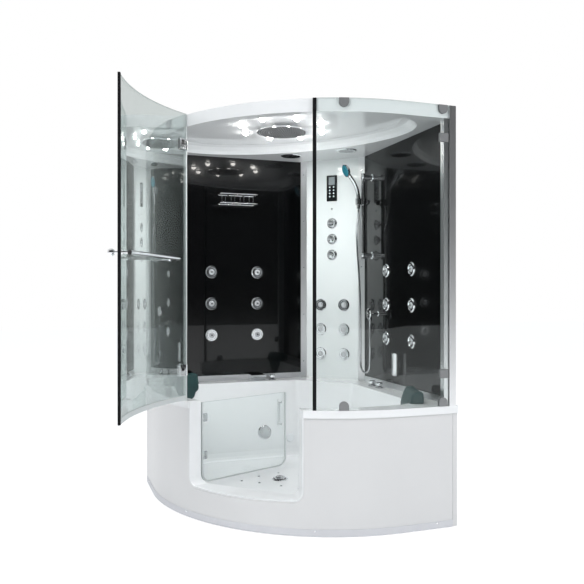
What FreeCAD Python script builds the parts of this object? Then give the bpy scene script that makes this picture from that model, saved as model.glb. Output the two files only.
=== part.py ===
"""Quadrant steam shower cabin on a walk-in bath.

All sizes are in millimetres. The origin is on the floor under the middle of the footprint,
+Z is up, the room corner is at +X +Y and the curved front faces -X -Y. The cabin is laid out
about the diagonal from the room corner to the front: on_diagonal() turns a shape that was
drawn with X along the front chord and Y towards the room corner into that frame.
Both glass doors are drawn shut and then swung to the open pose in which the cabin is kept.
"""
import FreeCAD, Part
import os
from math import acos, asin, cos, degrees, hypot, radians, sin, sqrt, tan

os.makedirs("parts", exist_ok=True)
V = FreeCAD.Vector
UP = V(0, 0, 1)

# ---------------------------------------------------------------- driving dimensions

# Footprint and levels
wall_reach = 725.0             # origin to the outer face of each wall
front_radius = 1138.0          # outer radius of the curved rim
overall_height = 2230.0        # floor to the top of the roof and the glass
rim_top = 645.0                # floor to the deck of the bath
rim_depth = 40.0               # height of the rim's rolled lip
shell_wall = 8.0               # moulded acrylic

# Basin of the bath
basin_floor = 150.0
basin_deck = 130.0             # deck from the wall panel to the basin
basin_end_deck = 115.0         # deck at the two far ends of the basin
basin_front_deck = 63.0        # rim width along the curved front
column_deck = 151.0            # deck from the column panel to the basin
back_slope = 60.0              # how far the back walls lean in
end_slope = 88.0               # how far the backrests at the ends lean in
basin_corner = 150.0           # corner radius at the ends
basin_bend = 60.0              # corner radius beside the column
floor_round = 45.0             # height of the rounding at the foot of the walls

# Walk-in doorway through the front of the bath
door_plane = 443.4             # origin to the flat inner face of the doorway
doorway_inner = 600.0          # clear width at that face
doorway_outer = 686.0          # clear width where the doorway meets the apron
doorway_corner = 50.0
sill_inner = 190.0             # floor to the sill at the inner face
sill_outer = 178.0             # floor to the sill at the apron

# Apron around the bath
apron_inset = 10.0             # the rim overhangs the apron by this
apron_wall = 5.0
apron_gap = 2.0                # seam under the rim and around the doorway
kick_height = 36.0
kick_proud = 3.0
kick_clear = 4.0               # band to floor
end_post_width = 56.0
end_post_depth = 26.0

# Walls, column and their profiles
panel_inset = 35.0             # wall's outer face to the glossy face of its panel
glass_wall = 6.0
column_leg = 337.0             # inner wall corner to the column's edge
column_profile = 46.0
profile_wing = 14.0            # column profile's wing behind each wall panel
profile_thick = 12.0
wall_back = 711.0              # origin to the back of the wall frames and the roof
end_profile_width = 40.0
end_profile_depth = 68.0
end_profile_lip = 39.0
profile_wall = 6.0
bottom_rail_height = 30.0
bottom_rail_depth = 14.0
panel_clear = 1.0              # wall panels to the ceiling

# Roof
roof_skin = 5.0
roof_gap = 3.0                 # fascia to the glass in front of it
roof_depth = 67.0              # top of the roof to the flat of the ceiling
dome_long = 800.0              # half length of the oval dome
dome_short = 450.0             # half width
dome_back = 30.0               # dome's middle in front of the origin
dome_height = 52.0
rain_radius = 150.0
rain_rise = 24.0               # ceiling to the underside of the rain shower
rain_thick = 10.0
rain_arm_radius = 12.0
rain_rings = 6
grille_radius = 70.0
grille_across = 198.0          # each ceiling grille from the diagonal
grille_back = 498.0            # each ceiling grille from the origin along the diagonal
spot_radius = 18.0
spot_thick = 3.0
spot_ring = 250.0              # radius of the ring of spots in the dome
spot_count = 8

# Outer glass
outer_glass = 6.0
outer_glass_inset = 2.0        # rim's edge to the glass
hinge_angle = 206.2            # where the door is hung, around the front's centre
latch_angle = 245.7            # where the door shuts
outer_open = 79.5              # how far the door stands open
hinge_gap = 14.0               # between the door and the glass it hangs on
latch_gap = 14.0               # between the door and the glass it shuts against
door_clear = 4.0               # door's glass above the deck
seal_thick = 3.0
seal_width = 12.0
seal_play = 1.0                # left between the two magnetic strips
drip_height = 26.0
hinge_level = 171.0            # hinges and clamps from the glass's ends
leaf_width = 46.0
leaf_height = 60.0
leaf_thick = 7.0
leaf_start = 9.0               # pane's edge to the plates of the hinge
barrel_radius = 6.0
pin_radius = 3.0
running_clear = 0.05
clamp_width = 50.0
clamp_height = 46.0
clamp_thick = 5.0
clamp_round = 25.5             # radius of its free end
clamp_angle = 253.4            # the clamp on the curved stretch
clamp_from_wall = 91.0         # the clamp on the straight stretch
knob_from_edge = 42.0
bar_end_angle = 213.5          # the bar's second fixing
bar_radius = 11.0
bar_stand_off = 48.0
handle_rosette = 15.0
handle_level = 1425.0

# Inner door of the bath
inner_glass = 6.0
inner_lap = 9.0                # glass past the doorway on each side
inner_top = 628.0
inner_bottom = 180.0
inner_corner = 55.0
inner_stand_off = 12.0         # doorway face to the middle of the glass
inner_open = 66.8
inner_hinge_top = 540.0
inner_hinge_low = 329.0
inner_leaf_height = 44.0
inner_hinge_gap = 9.0          # pane to the hinge's axis
inner_knuckle = 6.0
grip_height = 160.0
grip_level = 500.0

# Fittings on the column
panel_width = 75.0
panel_height = 178.0
panel_level = 1962.0
panel_thick = 8.0
sensor_level = 1820.0
knob_level = 1612.0            # the middle one of the three
knob_pitch = 109.0
rosette_radius = 36.0
rosette_thick = 6.0
knob_radius = 25.0
knob_length = 30.0
spindle_radius = 4.0

# Body jets
jet_radius = 42.0
jet_stem = 24.0
jet_clear = 1.0
jet_proud = 9.0
wall_jet_first = 33.0          # first column of wall jets from the origin
wall_jet_step = 321.0          # to the second column
wall_jet_level = 1167.5        # the middle row
wall_jet_pitch = 213.5
column_jet_across = 86.0
column_jet_level = 988.0
column_jet_pitch = 169.0

# Riser rail, handset and hose
rail_stand_off = 72.0          # wall panel to the middle of the rail
rail_along = 226.0             # rail from the origin along the wall
rail_radius = 12.0
rail_low = 1462.0
rail_high = 2022.0
rail_bracket_radius = 15.0
rail_bracket_inset = 24.0
slider_level = 1836.0
slider_radius = 21.0
slider_height = 42.0
head_radius = 42.0
head_thick = 22.0
head_lean = 21.0               # how far the spray face looks down
seat_from_rail = 33.0          # rail to the handset's seat
handle_radius = 12.0
handle_bend = 206.0            # radius of the handle's curve
handle_turn = 43.0             # how far it turns towards the head
hose_radius = 6.5
outlet_along = 143.0
outlet_level = 1105.0
outlet_reach = 77.0
outlet_radius = 35.0

# Shelf and cup on the walls
basket_width = 260.0
basket_height = 62.0
basket_depth = 105.0
basket_middle = -123.0
basket_low = 1840.0
wire_radius = 3.0
basket_corner = 16.0
basket_gap = 8.0
basket_boss = 7.0
cup_radius = 22.5
cup_along = -133.0
cup_low = 736.0
cup_height = 119.0
cup_lid_radius = 24.0
cup_lid_height = 20.0

# Deck fittings
spout_width = 100.0
spout_height = 38.0
spout_reach = 95.0
spout_middle = 16.0
deck_knob_radius = 22.0
deck_knob_height = 30.0
back_knob_along = 121.0
side_knob_first = 113.0
side_knob_pitch = 103.0
deck_knob_base = 27.0
deck_tail_radius = 9.0         # threaded tail of a deck knob's base

# Fittings in the basin
drain_along = -67.0            # drain along the diagonal
drain_radius = 48.0
plug_radius = 33.0
plug_lift = 8.0
waste_radius = 20.0
air_jet_radius = 9.0
air_jet_ring = 140.0
air_jet_count = 6
suction_radius = 46.0
suction_along = 33.0
suction_level = 310.0
light_radius = 28.0
light_along = 212.0
light_level = 262.0

# Headrests
rest_width = 230.0
rest_above = 67.0              # headrest's top above the deck
rest_below = 112.0             # its tail below the deck
rest_top = 52.0                # thickness at the top
rest_depth = 84.0              # thickness just below the deck
rest_tail = 26.0               # thickness of the tail
rest_round = 5.0
rest_from_end = 85.0           # basin's end to the middle of the headrest
rest_lap = 45.0                # headrest's back past the basin's edge
rest_turn = 16.0

# Cover screws
screw_first = 115.0            # deck to the lowest screw on the column profiles
screw_pitch = 328.0
screw_from_wall = 125.0        # last screws of the kick band

# Base frame and feet
tube = 30.0
frame_top = 128.0
foot_radius = 22.0
foot_thick = 8.0
foot_screw = 6.0
frame_inset = 90.0

# Machines behind the column
generator_width = 190.0
generator_depth = 100.0
generator_height = 330.0
generator_top = 1180.0
inlet_radius = 10.5            # half-inch water pipe
inlet_low = 1300.0

# ---------------------------------------------------------------- sizes that follow

centre = front_radius - wall_reach            # the front's arc is centred at (centre, centre)
centre_back = centre * sqrt(2)                # the same, along the diagonal
panel_face = wall_reach - panel_inset         # glossy inner face of both walls
ceiling_level = overall_height - roof_depth
panel_top = ceiling_level - panel_clear
rain_level = ceiling_level + rain_rise
column_face = (2 * panel_face - column_leg) / sqrt(2)
column_width = column_leg * sqrt(2)
glass_out = front_radius - outer_glass_inset
glass_in = glass_out - outer_glass
glass_mid = (glass_out + glass_in) / 2
glass_low = rim_top
glass_high = overall_height
roof_radius = glass_in - roof_gap
apron_radius = front_radius - apron_inset
apron_top = rim_top - rim_depth - apron_gap
roof_inset = wall_reach - wall_back
profile_inner = centre - glass_out + end_profile_width
panel_edge = profile_inner - 10
panel_foot = rim_top + bottom_rail_height
column_corner = panel_face - column_leg


def on_diagonal(shape):
    """Turn a shape drawn about the diagonal into the cabin's frame."""
    turned = shape.copy()
    turned.rotate(V(0, 0, 0), UP, -45)
    return turned


def mirrored(shape):
    """The same piece on the other side of the diagonal."""
    return shape.mirror(V(0, 0, 0), V(1, -1, 0))


def turned_about(shape, point, axis, angle):
    turned = shape.copy()
    turned.rotate(point, axis, angle)
    return turned


def box(x0, y0, z0, x1, y1, z1):
    return Part.makeBox(x1 - x0, y1 - y0, z1 - z0, V(x0, y0, z0))


def rod(radius, start, end):
    return Part.makeCylinder(radius, (end - start).Length, start, end - start)


def front_point(angle, radius, z=0.0):
    """A point at an angle and radius around the centre of the curved front."""
    turn = radians(angle)
    return V(centre + radius * cos(turn), centre + radius * sin(turn), z)


def prism(edges, z0, z1):
    """Extrude a closed plan outline, drawn at z0, up to z1."""
    return Part.Face(Part.Wire(edges)).extrude(V(0, 0, z1 - z0))


def joined(pieces):
    whole = pieces[0].fuse(pieces[1:]) if len(pieces) > 1 else pieces[0]
    return whole.removeSplitter()


def save(name, *pieces):
    """Write one node. Each piece is a separate solid."""
    solids = [solid for piece in pieces for solid in piece.Solids]
    whole = solids[0] if len(solids) == 1 else Part.makeCompound(solids)
    whole.exportStep("parts/" + name + ".step")
    print(name, len(solids), "solids", round(whole.Volume / 1000), "cm3", whole.isValid())


def quadrant(front_inset, wall_inset, z0, z1):
    """The cabin's plan, a square with one round corner, inset and extruded."""
    radius = front_radius - front_inset
    side = centre - radius
    wall = wall_reach - wall_inset
    corners = [V(side, wall, z0), V(side, centre, z0), V(centre, side, z0)]
    corners += [V(wall, side, z0), V(wall, wall, z0)]
    edges = [Part.LineSegment(corners[0], corners[1]).toShape()]
    edges += [Part.Arc(corners[1], front_point(225, radius, z0), corners[2]).toShape()]
    edges += [Part.LineSegment(corners[i], corners[(i + 1) % 5]).toShape() for i in (2, 3, 4)]
    return prism(edges, z0, z1)


def curved_panel(r_in, r_out, angle0, angle1, z0, z1):
    """A curved panel around the centre of the front."""
    mid = (angle0 + angle1) / 2
    outer = [front_point(angle, r_out, z0) for angle in (angle0, mid, angle1)]
    inner = [front_point(angle, r_in, z0) for angle in (angle1, mid, angle0)]
    edges = [Part.Arc(*outer).toShape(), Part.LineSegment(outer[2], inner[0]).toShape()]
    edges += [Part.Arc(*inner).toShape(), Part.LineSegment(inner[2], outer[0]).toShape()]
    return prism(edges, z0, z1)


def front_strip(r_in, r_out, angle, wall_end, z0, z1):
    """A strip that starts straight at the left wall's end and follows the curve to an angle."""
    mid = (180 + angle) / 2
    start_out = V(centre - r_out, wall_end, z0)
    start_in = V(centre - r_in, wall_end, z0)
    outer = [front_point(a, r_out, z0) for a in (180, mid, angle)]
    inner = [front_point(a, r_in, z0) for a in (angle, mid, 180)]
    edges = [Part.LineSegment(start_out, outer[0]).toShape(), Part.Arc(*outer).toShape()]
    edges += [Part.LineSegment(outer[2], inner[0]).toShape(), Part.Arc(*inner).toShape()]
    edges += [Part.LineSegment(inner[2], start_in).toShape()]
    edges += [Part.LineSegment(start_in, start_out).toShape()]
    return prism(edges, z0, z1)


def rounded_wire(corners, radii):
    """A closed outline through corners, each rounded with its own tangent arc."""
    count = len(corners)
    starts, mids, ends = [], [], []
    for i, corner in enumerate(corners):
        back = (corners[i - 1] - corner).normalize()
        ahead = (corners[(i + 1) % count] - corner).normalize()
        half = acos(max(-1.0, min(1.0, back.dot(ahead)))) / 2
        reach = radii[i] / tan(half)
        middle = (back + ahead).normalize()
        starts.append(corner + back * reach)
        ends.append(corner + ahead * reach)
        mids.append(corner + middle * (radii[i] / sin(half) - radii[i]))
    edges = []
    for i in range(count):
        edges.append(Part.Arc(starts[i], mids[i], ends[i]).toShape())
        edges.append(Part.LineSegment(ends[i], starts[(i + 1) % count]).toShape())
    return Part.Wire(edges)


def rounded_box(x0, y0, z0, x1, y1, z1, radius):
    """A box whose upright edges are rounded."""
    corners = [V(x0, y0, z0), V(x1, y0, z0), V(x1, y1, z0), V(x0, y1, z0)]
    return Part.Face(rounded_wire(corners, [radius] * 4)).extrude(V(0, 0, z1 - z0))


def rounded_plate(width, height, thick, radius):
    """An upright plate, centred, facing -Y, its back on y = 0, with rounded corners."""
    plate = rounded_box(-width / 2, -height / 2, 0, width / 2, height / 2, thick, radius)
    plate.rotate(V(0, 0, 0), V(1, 0, 0), 90)
    return plate


def turned_profile(points):
    """A solid of revolution about +Z from an (r, z) outline that starts and ends on the axis."""
    corners = [V(r, 0, z) for r, z in points]
    edges = []
    for i in range(len(corners)):
        edges.append(Part.LineSegment(corners[i], corners[(i + 1) % len(corners)]).toShape())
    return Part.Face(Part.Wire(edges)).revolve(V(0, 0, 0), UP, 360)


def facing(shape, place, direction):
    """Put a piece drawn along +Z at a place, looking along a direction."""
    moved = shape.copy()
    moved.Placement = FreeCAD.Placement(place, FreeCAD.Rotation(UP, direction))
    return moved


def on_column(across, level, proud=0.0):
    """A point on the column's face, drawn about the diagonal."""
    return V(across, column_face - proud, level)


# ---------------------------------------------------------------- bath

def basin_section(z, drop, grow):
    """Outline of the basin: drop is 0 at the deck and 1 at the floor, grow is outward."""
    back = panel_face - basin_deck - back_slope * drop + grow
    end = -(wall_reach - basin_end_deck - end_slope * drop + grow)
    chamfer = (column_face - column_deck - back_slope * drop + grow) * sqrt(2)
    corners = [V(end, back, z), V(chamfer - back, back, z), V(back, chamfer - back, z)]
    corners += [V(back, end, z), V(end, end, z)]
    radii = [basin_corner + grow, basin_bend, basin_bend, basin_corner + grow, basin_corner + grow]
    return rounded_wire(corners, radii)


def basin_solid(grow, top):
    """The basin as a solid, grown outward by a wall when it is the outside of the shell."""
    low = basin_floor - grow
    span = rim_top - basin_floor
    foot = 1 - floor_round / span
    leaning = [basin_section(top, 0, grow), basin_section(low + floor_round, foot, grow)]
    rounding = [basin_section(low + floor_round * part, 1 + more, grow)
                for part, more in ((0.45, 0.10), (0.15, 0.28))]
    bottom = basin_section(low, 1.55, grow)
    sloped = Part.makeLoft(leaning + rounding + [bottom], True, True)
    reach = front_radius - basin_front_deck + grow
    inside = Part.makeCylinder(reach, top - low, V(centre, centre, low))
    behind = on_diagonal(box(-wall_reach * 2, -door_plane - grow, low, wall_reach * 2, wall_reach * 2, top))
    return sloped.common(inside).common(behind)


def doorway_section(along, grow):
    """Upright U outline of the doorway at a distance along the diagonal."""
    apron_along = centre_back - sqrt(apron_radius ** 2 - (doorway_outer / 2) ** 2)
    part = (along + door_plane) / (apron_along + door_plane)
    half = (doorway_inner + (doorway_outer - doorway_inner) * part) / 2 + grow
    front_along = centre_back - apron_radius
    rise = (along + door_plane) / (front_along + door_plane)
    sill = sill_inner + (sill_outer - sill_inner) * rise - grow
    top = rim_top + rim_depth
    corners = [V(-half, along, sill), V(half, along, sill), V(half, along, top), V(-half, along, top)]
    low_round = doorway_corner + grow
    return rounded_wire(corners, [low_round, low_round, 1.0, 1.0])


def doorway(grow):
    """The way through the front, wider at the apron than at the inner face."""
    outside = centre_back - front_radius - rim_depth
    inside = -door_plane + shell_wall * 3
    passage = Part.makeLoft([doorway_section(outside, grow), doorway_section(inside, grow)], True, True)
    return on_diagonal(passage)


def bath_shell():
    deck_low = rim_top - shell_wall
    deck = quadrant(0, 0, rim_top - rim_depth, rim_top)
    deck = deck.cut(quadrant(shell_wall, shell_wall, rim_top - rim_depth, deck_low))
    body = deck.fuse(basin_solid(shell_wall, deck_low))
    frame = doorway(shell_wall).common(quadrant(apron_inset, 0, basin_floor - shell_wall, rim_top))
    front = on_diagonal(box(-wall_reach, -wall_reach * 2, 0, wall_reach, -door_plane, rim_top))
    body = body.fuse(frame.common(front))
    body = body.cut(basin_solid(0, rim_top + 1))
    body = body.cut(doorway(0))
    for x, y in air_jet_places():
        body = body.cut(Part.makeCylinder(air_jet_radius * 0.6, 60, V(x, y, basin_floor - 30)))
    drain = drain_place()
    body = body.cut(Part.makeCylinder(waste_radius + 4, 60, V(drain.x, drain.y, basin_floor - 30)))
    for hole in (suction_hole(), light_hole()):
        body = body.cut(hole)
    for place in deck_knob_places():
        body = body.cut(Part.makeCylinder(deck_tail_radius, shell_wall * 3, place - V(0, 0, shell_wall * 2)))
    return body.removeSplitter()


def drain_place():
    return on_diagonal(Part.Vertex(V(0, drain_along, 0))).Point


def air_jet_places():
    """A ring of small air jets around the drain and two more towards the ends."""
    drain = drain_place()
    step = 360 / air_jet_count
    angles = [15 + step * i for i in range(air_jet_count)]
    places = [(air_jet_ring, angle) for angle in angles]
    places += [(air_jet_ring * 1.6, 170), (air_jet_ring * 1.6, 280)]
    return [(drain.x + r * cos(radians(a)), drain.y + r * sin(radians(a))) for r, a in places]


def basin_back(level):
    """How far the basin's back wall is from the origin at a level."""
    return panel_face - basin_deck - back_slope * (rim_top - level) / (rim_top - basin_floor)


def back_lean():
    """Angle of the basin's back wall from upright, in degrees."""
    return degrees(asin(back_slope / hypot(back_slope, rim_top - basin_floor)))


def at_back_wall(shape, along, level):
    """Put a piece drawn along +Z on the basin's back wall, looking into the basin."""
    looking = V(0, -cos(radians(back_lean())), sin(radians(back_lean())))
    return facing(shape, V(along, basin_back(level), level), looking)


def suction_hole():
    hole = Part.makeCylinder(suction_radius * 0.6, 80, V(0, 0, -40))
    return at_back_wall(hole, suction_along, suction_level)


def light_hole():
    hole = Part.makeCylinder(light_radius * 0.7, 80, V(0, 0, -40))
    return at_back_wall(hole, light_along, light_level)


def suction_fitting():
    """Whirlpool intake: a slotted disc with a stem and a pipe elbow behind the wall."""
    disc = turned_profile([(0, 0.2), (suction_radius, 0.2), (suction_radius, 4),
                           (suction_radius - 6, 9), (suction_radius * 0.3, 7), (0, 7)])
    for i in range(12):
        hole = Part.makeCylinder(2.2, 30, V(suction_radius * 0.68, 0, 1))
        disc = disc.cut(turned_about(hole, V(0, 0, 0), UP, 30 * i))
    stem = Part.makeCylinder(suction_radius * 0.6 - 1, 36, V(0, 0, -35))
    return at_back_wall(disc.fuse(stem), suction_along, suction_level)


def underwater_light(tub):
    lens = turned_profile([(0, 0.2), (light_radius, 0.2), (light_radius, 3),
                           (light_radius - 5, 7), (0, 9)])
    stem = Part.makeCylinder(light_radius * 0.7 - 1, 30, V(0, 0, -29))
    light = at_back_wall(lens.fuse(stem), light_along, light_level).cut(tub)
    return sorted(light.Solids, key=lambda solid: solid.Volume)[-1]


def apron():
    low = kick_clear + kick_height
    skirt = quadrant(apron_inset, 0, low, apron_top)
    inner = quadrant(apron_inset + apron_wall, -shell_wall, low - 1, apron_top + 1)
    post = wall_reach - end_post_depth - apron_gap
    ends = box(-wall_reach, -wall_reach, low, post, post, apron_top)
    skirt = skirt.cut(inner).common(ends)
    return skirt.cut(doorway(shell_wall + apron_gap)).Solids[0]


def kick_band():
    low = kick_clear
    outer = quadrant(apron_inset - kick_proud, 0, low, low + kick_height)
    inner = quadrant(apron_inset + apron_wall, -shell_wall, low - 1, low + kick_height + 1)
    post = wall_reach - end_post_depth - apron_gap
    ends = box(-wall_reach, -wall_reach, low, post, post, low + kick_height)
    return outer.cut(inner).common(ends)


def end_post():
    """Upright at the left wall's end that closes the apron."""
    side = centre - apron_radius
    y0 = wall_reach - end_post_depth
    post = box(side, y0, kick_clear, side + end_post_width, wall_reach, apron_top)
    return post.cut(box(side + apron_wall, y0 + apron_wall, 0, side + end_post_width + 1,
                        wall_reach + 1, apron_top + 1))


# ---------------------------------------------------------------- base frame and feet

def frame_corners():
    """Feet stand here: four near the corners, one at each side of the door, one in the middle."""
    far = wall_reach - frame_inset
    near = centre - (apron_radius - frame_inset)
    front = front_point(225, apron_radius - frame_inset * 1.4)
    return [V(far, far, 0), V(near, far, 0), V(far, near, 0), V(front.x, front.y, 0), V(0, 0, 0)]


def beam(start, end, low, high):
    """A square tube on edge between two plan points."""
    along = end - start
    length = hypot(along.x, along.y)
    solid = Part.makeBox(length + tube, tube, high - low, V(-tube / 2, -tube / 2, low))
    turn = degrees(FreeCAD.Vector(1, 0, 0).getAngle(along)) * (1 if along.y >= 0 else -1)
    solid.rotate(V(0, 0, 0), UP, turn)
    solid.translate(V(start.x, start.y, 0))
    return solid


def base_frame():
    """Welded square tubes: a ring, a cross beam under the basin and posts up to the rim."""
    back, left, right, front, _ = frame_corners()
    low = frame_top - tube
    beams = [beam(a, b, low, frame_top) for a, b in ((left, back), (back, right), (left, right))]
    beams += [beam(left, front, low, frame_top), beam(right, front, low, frame_top)]
    posts = [box(p.x - tube / 2, p.y - tube / 2, low, p.x + tube / 2, p.y + tube / 2,
                 rim_top - shell_wall) for p in (back, left, right)]
    return joined(beams + posts)


def levelling_foot(place):
    """A round pad with a threaded stud up into the frame."""
    pad = turned_profile([(0, 0), (foot_radius, 0), (foot_radius, foot_thick * 0.5),
                          (foot_screw * 1.6, foot_thick * 1.6), (0, foot_thick * 1.6)])
    stud = Part.makeCylinder(foot_screw, frame_top - tube - foot_thick, V(0, 0, foot_thick))
    nut = Part.makeCylinder(foot_screw * 1.8, 8, V(0, 0, frame_top - tube - 8))
    return joined([pad, stud, nut]).translated(place)


# ---------------------------------------------------------------- waste

def drain_flange():
    """Dished ring in the floor with a threaded tail through it."""
    ring = turned_profile([(0, 0.2), (drain_radius, 0.2), (drain_radius, 2), (drain_radius - 8, 5),
                           (plug_radius + 2, 5), (plug_radius + 2, 2.2), (0, 2.2)])
    tail = Part.makeCylinder(waste_radius + 3, 40, V(0, 0, -39))
    bore = Part.makeCylinder(waste_radius - 1, 60, V(0, 0, -45))
    return ring.fuse(tail).cut(bore).removeSplitter().translated(drain_place() + V(0, 0, basin_floor))


def drain_plug():
    """Domed plug that lifts clear of the drain, on a guide stem."""
    cap = turned_profile([(0, 0), (plug_radius, 0), (plug_radius, 2), (plug_radius - 8, 5), (0, 6.5)])
    stem = Part.makeCylinder(4, 40, V(0, 0, -39))
    lifted = basin_floor + 2.6 + plug_lift
    return cap.fuse(stem).translated(drain_place() + V(0, 0, lifted))


def waste_trap():
    """Low trap under the drain and its pipe to the back wall."""
    top = basin_floor - 39.5
    cup = turned_profile([(0, 40), (waste_radius + 14, 40), (waste_radius + 16, 44),
                          (waste_radius + 16, top), (0, top)])
    cup = cup.cut(Part.makeCylinder(waste_radius + 12, top - 47, V(0, 0, 44)))
    cup = cup.cut(Part.makeCylinder(waste_radius - 1, top, V(0, 0, 60)))
    drain = drain_place()
    start = V(drain.x + waste_radius + 13, drain.y, 62)
    out = V(wall_reach - 20, drain.y, 62)
    pipe = rod(waste_radius * 0.8, start, out)
    pipe = pipe.cut(rod(waste_radius * 0.65, start - V(40, 0, 0), out + V(1, 0, 0)))
    return cup.translated(drain).fuse(pipe)


# ---------------------------------------------------------------- walls and column

def wall_glass():
    """The glossy panel of the back wall, from the end profile to the column."""
    panel = box(panel_edge, panel_face, panel_foot, column_corner, panel_face + glass_wall, panel_top)
    for x, z in wall_jet_places():
        hole = Part.makeCylinder(jet_stem + jet_clear, 60, V(x, panel_face - 20, z), V(0, 1, 0))
        panel = panel.cut(hole)
    return panel


def wall_jet_places():
    columns = [wall_jet_first, wall_jet_first - wall_jet_step]
    rows = [wall_jet_level + wall_jet_pitch * i for i in (-1, 0, 1)]
    return [(x, z) for x in columns for z in rows]


def column_jet_places():
    rows = [column_jet_level + column_jet_pitch * i for i in (-1, 0, 1)]
    return [(x, z) for x in (-column_jet_across, column_jet_across) for z in rows]


def bottom_rail():
    """Aluminium rail that holds the foot of the back wall's panel."""
    y0 = panel_face - bottom_rail_depth / 2
    rail = box(profile_inner, y0, rim_top, column_corner, y0 + bottom_rail_depth + glass_wall, panel_foot + 6)
    slot = box(profile_inner - 1, panel_face, panel_foot, column_corner + 1, panel_face + glass_wall,
               panel_foot + 7)
    notch = box(column_corner - profile_wing, panel_face + glass_wall, rim_top - 1, column_corner + 1,
                panel_face + glass_wall * 3, panel_foot + 7)
    return rail.cut(slot).cut(notch)


def end_profile():
    """Upright at the left end of the back wall: a channel around the front glass's edge."""
    side = centre - glass_out
    low = rim_top
    body = box(-wall_reach, wall_back - end_profile_depth, low, profile_inner, wall_back, glass_high)
    front_room = box(-wall_reach - 1, wall_back - end_profile_depth - 1, low - 1, side,
                     wall_back - end_profile_lip, glass_high + 1)
    glass_slot = box(side, wall_back - end_profile_depth - 1, low - 1, side + outer_glass,
                     wall_back - profile_wall, glass_high + 1)
    panel_slot = box(panel_edge, panel_face, low - 1, profile_inner + 1, panel_face + glass_wall,
                     glass_high + 1)
    roof_room = box(side + outer_glass, 0, ceiling_level, profile_inner + 1, wall_reach, glass_high + 1)
    return body.cut(front_room).cut(glass_slot).cut(panel_slot).cut(roof_room)


def column_profile_left():
    """Aluminium corner profile between the back wall's panel and the column."""
    edge = -column_width / 2
    strip = box(edge, column_face, rim_top, edge + column_profile, column_face + profile_thick, ceiling_level)
    lip = box(edge + column_profile - 10, column_face + 2, rim_top - 1, edge + column_profile + 1,
              column_face + 2 + glass_wall, ceiling_level + 1)
    wing = box(column_corner - profile_wing, panel_face + glass_wall, rim_top, column_corner + profile_wing,
               panel_face + glass_wall + 6, ceiling_level)
    return joined([on_diagonal(strip.cut(lip)), wing])


def column_glass():
    """White panel of the column, with its holes for jets, knobs and cables."""
    half = column_width / 2 - column_profile + 9
    panel = box(-half, column_face + 2, rim_top + 4, half, column_face + 2 + glass_wall, panel_top)
    for x, z in column_jet_places():
        panel = panel.cut(Part.makeCylinder(jet_stem + jet_clear, 60, V(x, column_face - 20, z), V(0, 1, 0)))
    for i in (-1, 0, 1):
        hole = Part.makeCylinder(spindle_radius + 6, 60, V(0, column_face - 20, knob_level + knob_pitch * i),
                                 V(0, 1, 0))
        panel = panel.cut(hole)
    return on_diagonal(panel)


def jet_ring():
    """Chrome escutcheon with its stem and back nut, drawn along +Z from the panel's face."""
    ring = turned_profile([(0, 0.3), (jet_radius, 0.3), (jet_radius, 3), (jet_radius - 5, jet_proud),
                           (jet_stem + 6, jet_proud), (jet_stem + 3, jet_proud - 4), (0, jet_proud - 4)])
    stem = Part.makeCylinder(jet_stem, glass_wall + 16, V(0, 0, -glass_wall - 15.5))
    nut = turned_profile([(0, 0), (jet_stem + 8, 0), (jet_stem + 8, 7), (0, 7)])
    nut = nut.translated(V(0, 0, -glass_wall - 10.5))
    bore = Part.makeCylinder(jet_stem - 4, 60, V(0, 0, -12))
    return joined([ring, stem, nut]).cut(bore)


def jet_nose():
    """Round spray nose inside a jet's ring, with a ring of small holes."""
    nose = turned_profile([(0, -11.8), (jet_stem - 4.2, -11.8), (jet_stem - 4.2, jet_proud - 5),
                           (jet_stem - 7, jet_proud - 1), (0, jet_proud + 1)])
    for i in range(8):
        hole = Part.makeCylinder(1.2, 30, V(jet_stem * 0.5, 0, jet_proud - 9))
        nose = nose.cut(turned_about(hole, V(0, 0, 0), UP, 45 * i))
    return nose


def spread_jets(piece):
    """Copies of one jet piece on both walls and the column."""
    on_back = [facing(piece, V(x, panel_face, z), V(0, -1, 0)) for x, z in wall_jet_places()]
    on_right = [mirrored(jet) for jet in on_back]
    on_post = [on_diagonal(facing(piece, V(x, column_face + 2, z), V(0, -1, 0)))
               for x, z in column_jet_places()]
    return on_back + on_right + on_post


def water_circuit():
    """Risers behind the jets and the valve block behind the knobs, with its two inlets."""
    behind = panel_face + glass_wall + 16 + 6.2
    risers = []
    for x in (wall_jet_first, wall_jet_first - wall_jet_step):
        riser = rod(6, V(x, behind, wall_jet_level - wall_jet_pitch - 30),
                    V(x, behind, wall_jet_level + wall_jet_pitch + 30))
        risers += [riser, mirrored(riser)]
    column_behind = column_face + 2 + glass_wall + 16 + 6.2
    for x in (-column_jet_across, column_jet_across):
        risers.append(on_diagonal(rod(6, V(x, column_behind, column_jet_level - column_jet_pitch - 30),
                                      V(x, column_behind, column_jet_level + column_jet_pitch + 30))))
    block_face = column_face + 2 + glass_wall + 4
    low = knob_level - knob_pitch - 40
    valve = box(-32, block_face, low, 32, block_face + 50, knob_level + knob_pitch + 40)
    for i in (-1, 0, 1):
        place = V(0, block_face - 1, knob_level + knob_pitch * i)
        valve = valve.cut(Part.makeCylinder(spindle_radius + 1, 40, place, V(0, 1, 0)))
    inlets = []
    for side in (-1, 1):
        start = V(side * 22, block_face + 25, low + 5)
        foot = V(side * 22, block_face + 25, inlet_low)
        inlets.append(rod(inlet_radius, foot, start))
    return risers + [on_diagonal(joined([valve] + inlets))]


def control_panel():
    """Dark glass touch panel on the column."""
    plate = rounded_plate(panel_width, panel_height, panel_thick, 4)
    return on_diagonal(plate.translated(on_column(0, panel_level, -1.8)))


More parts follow.
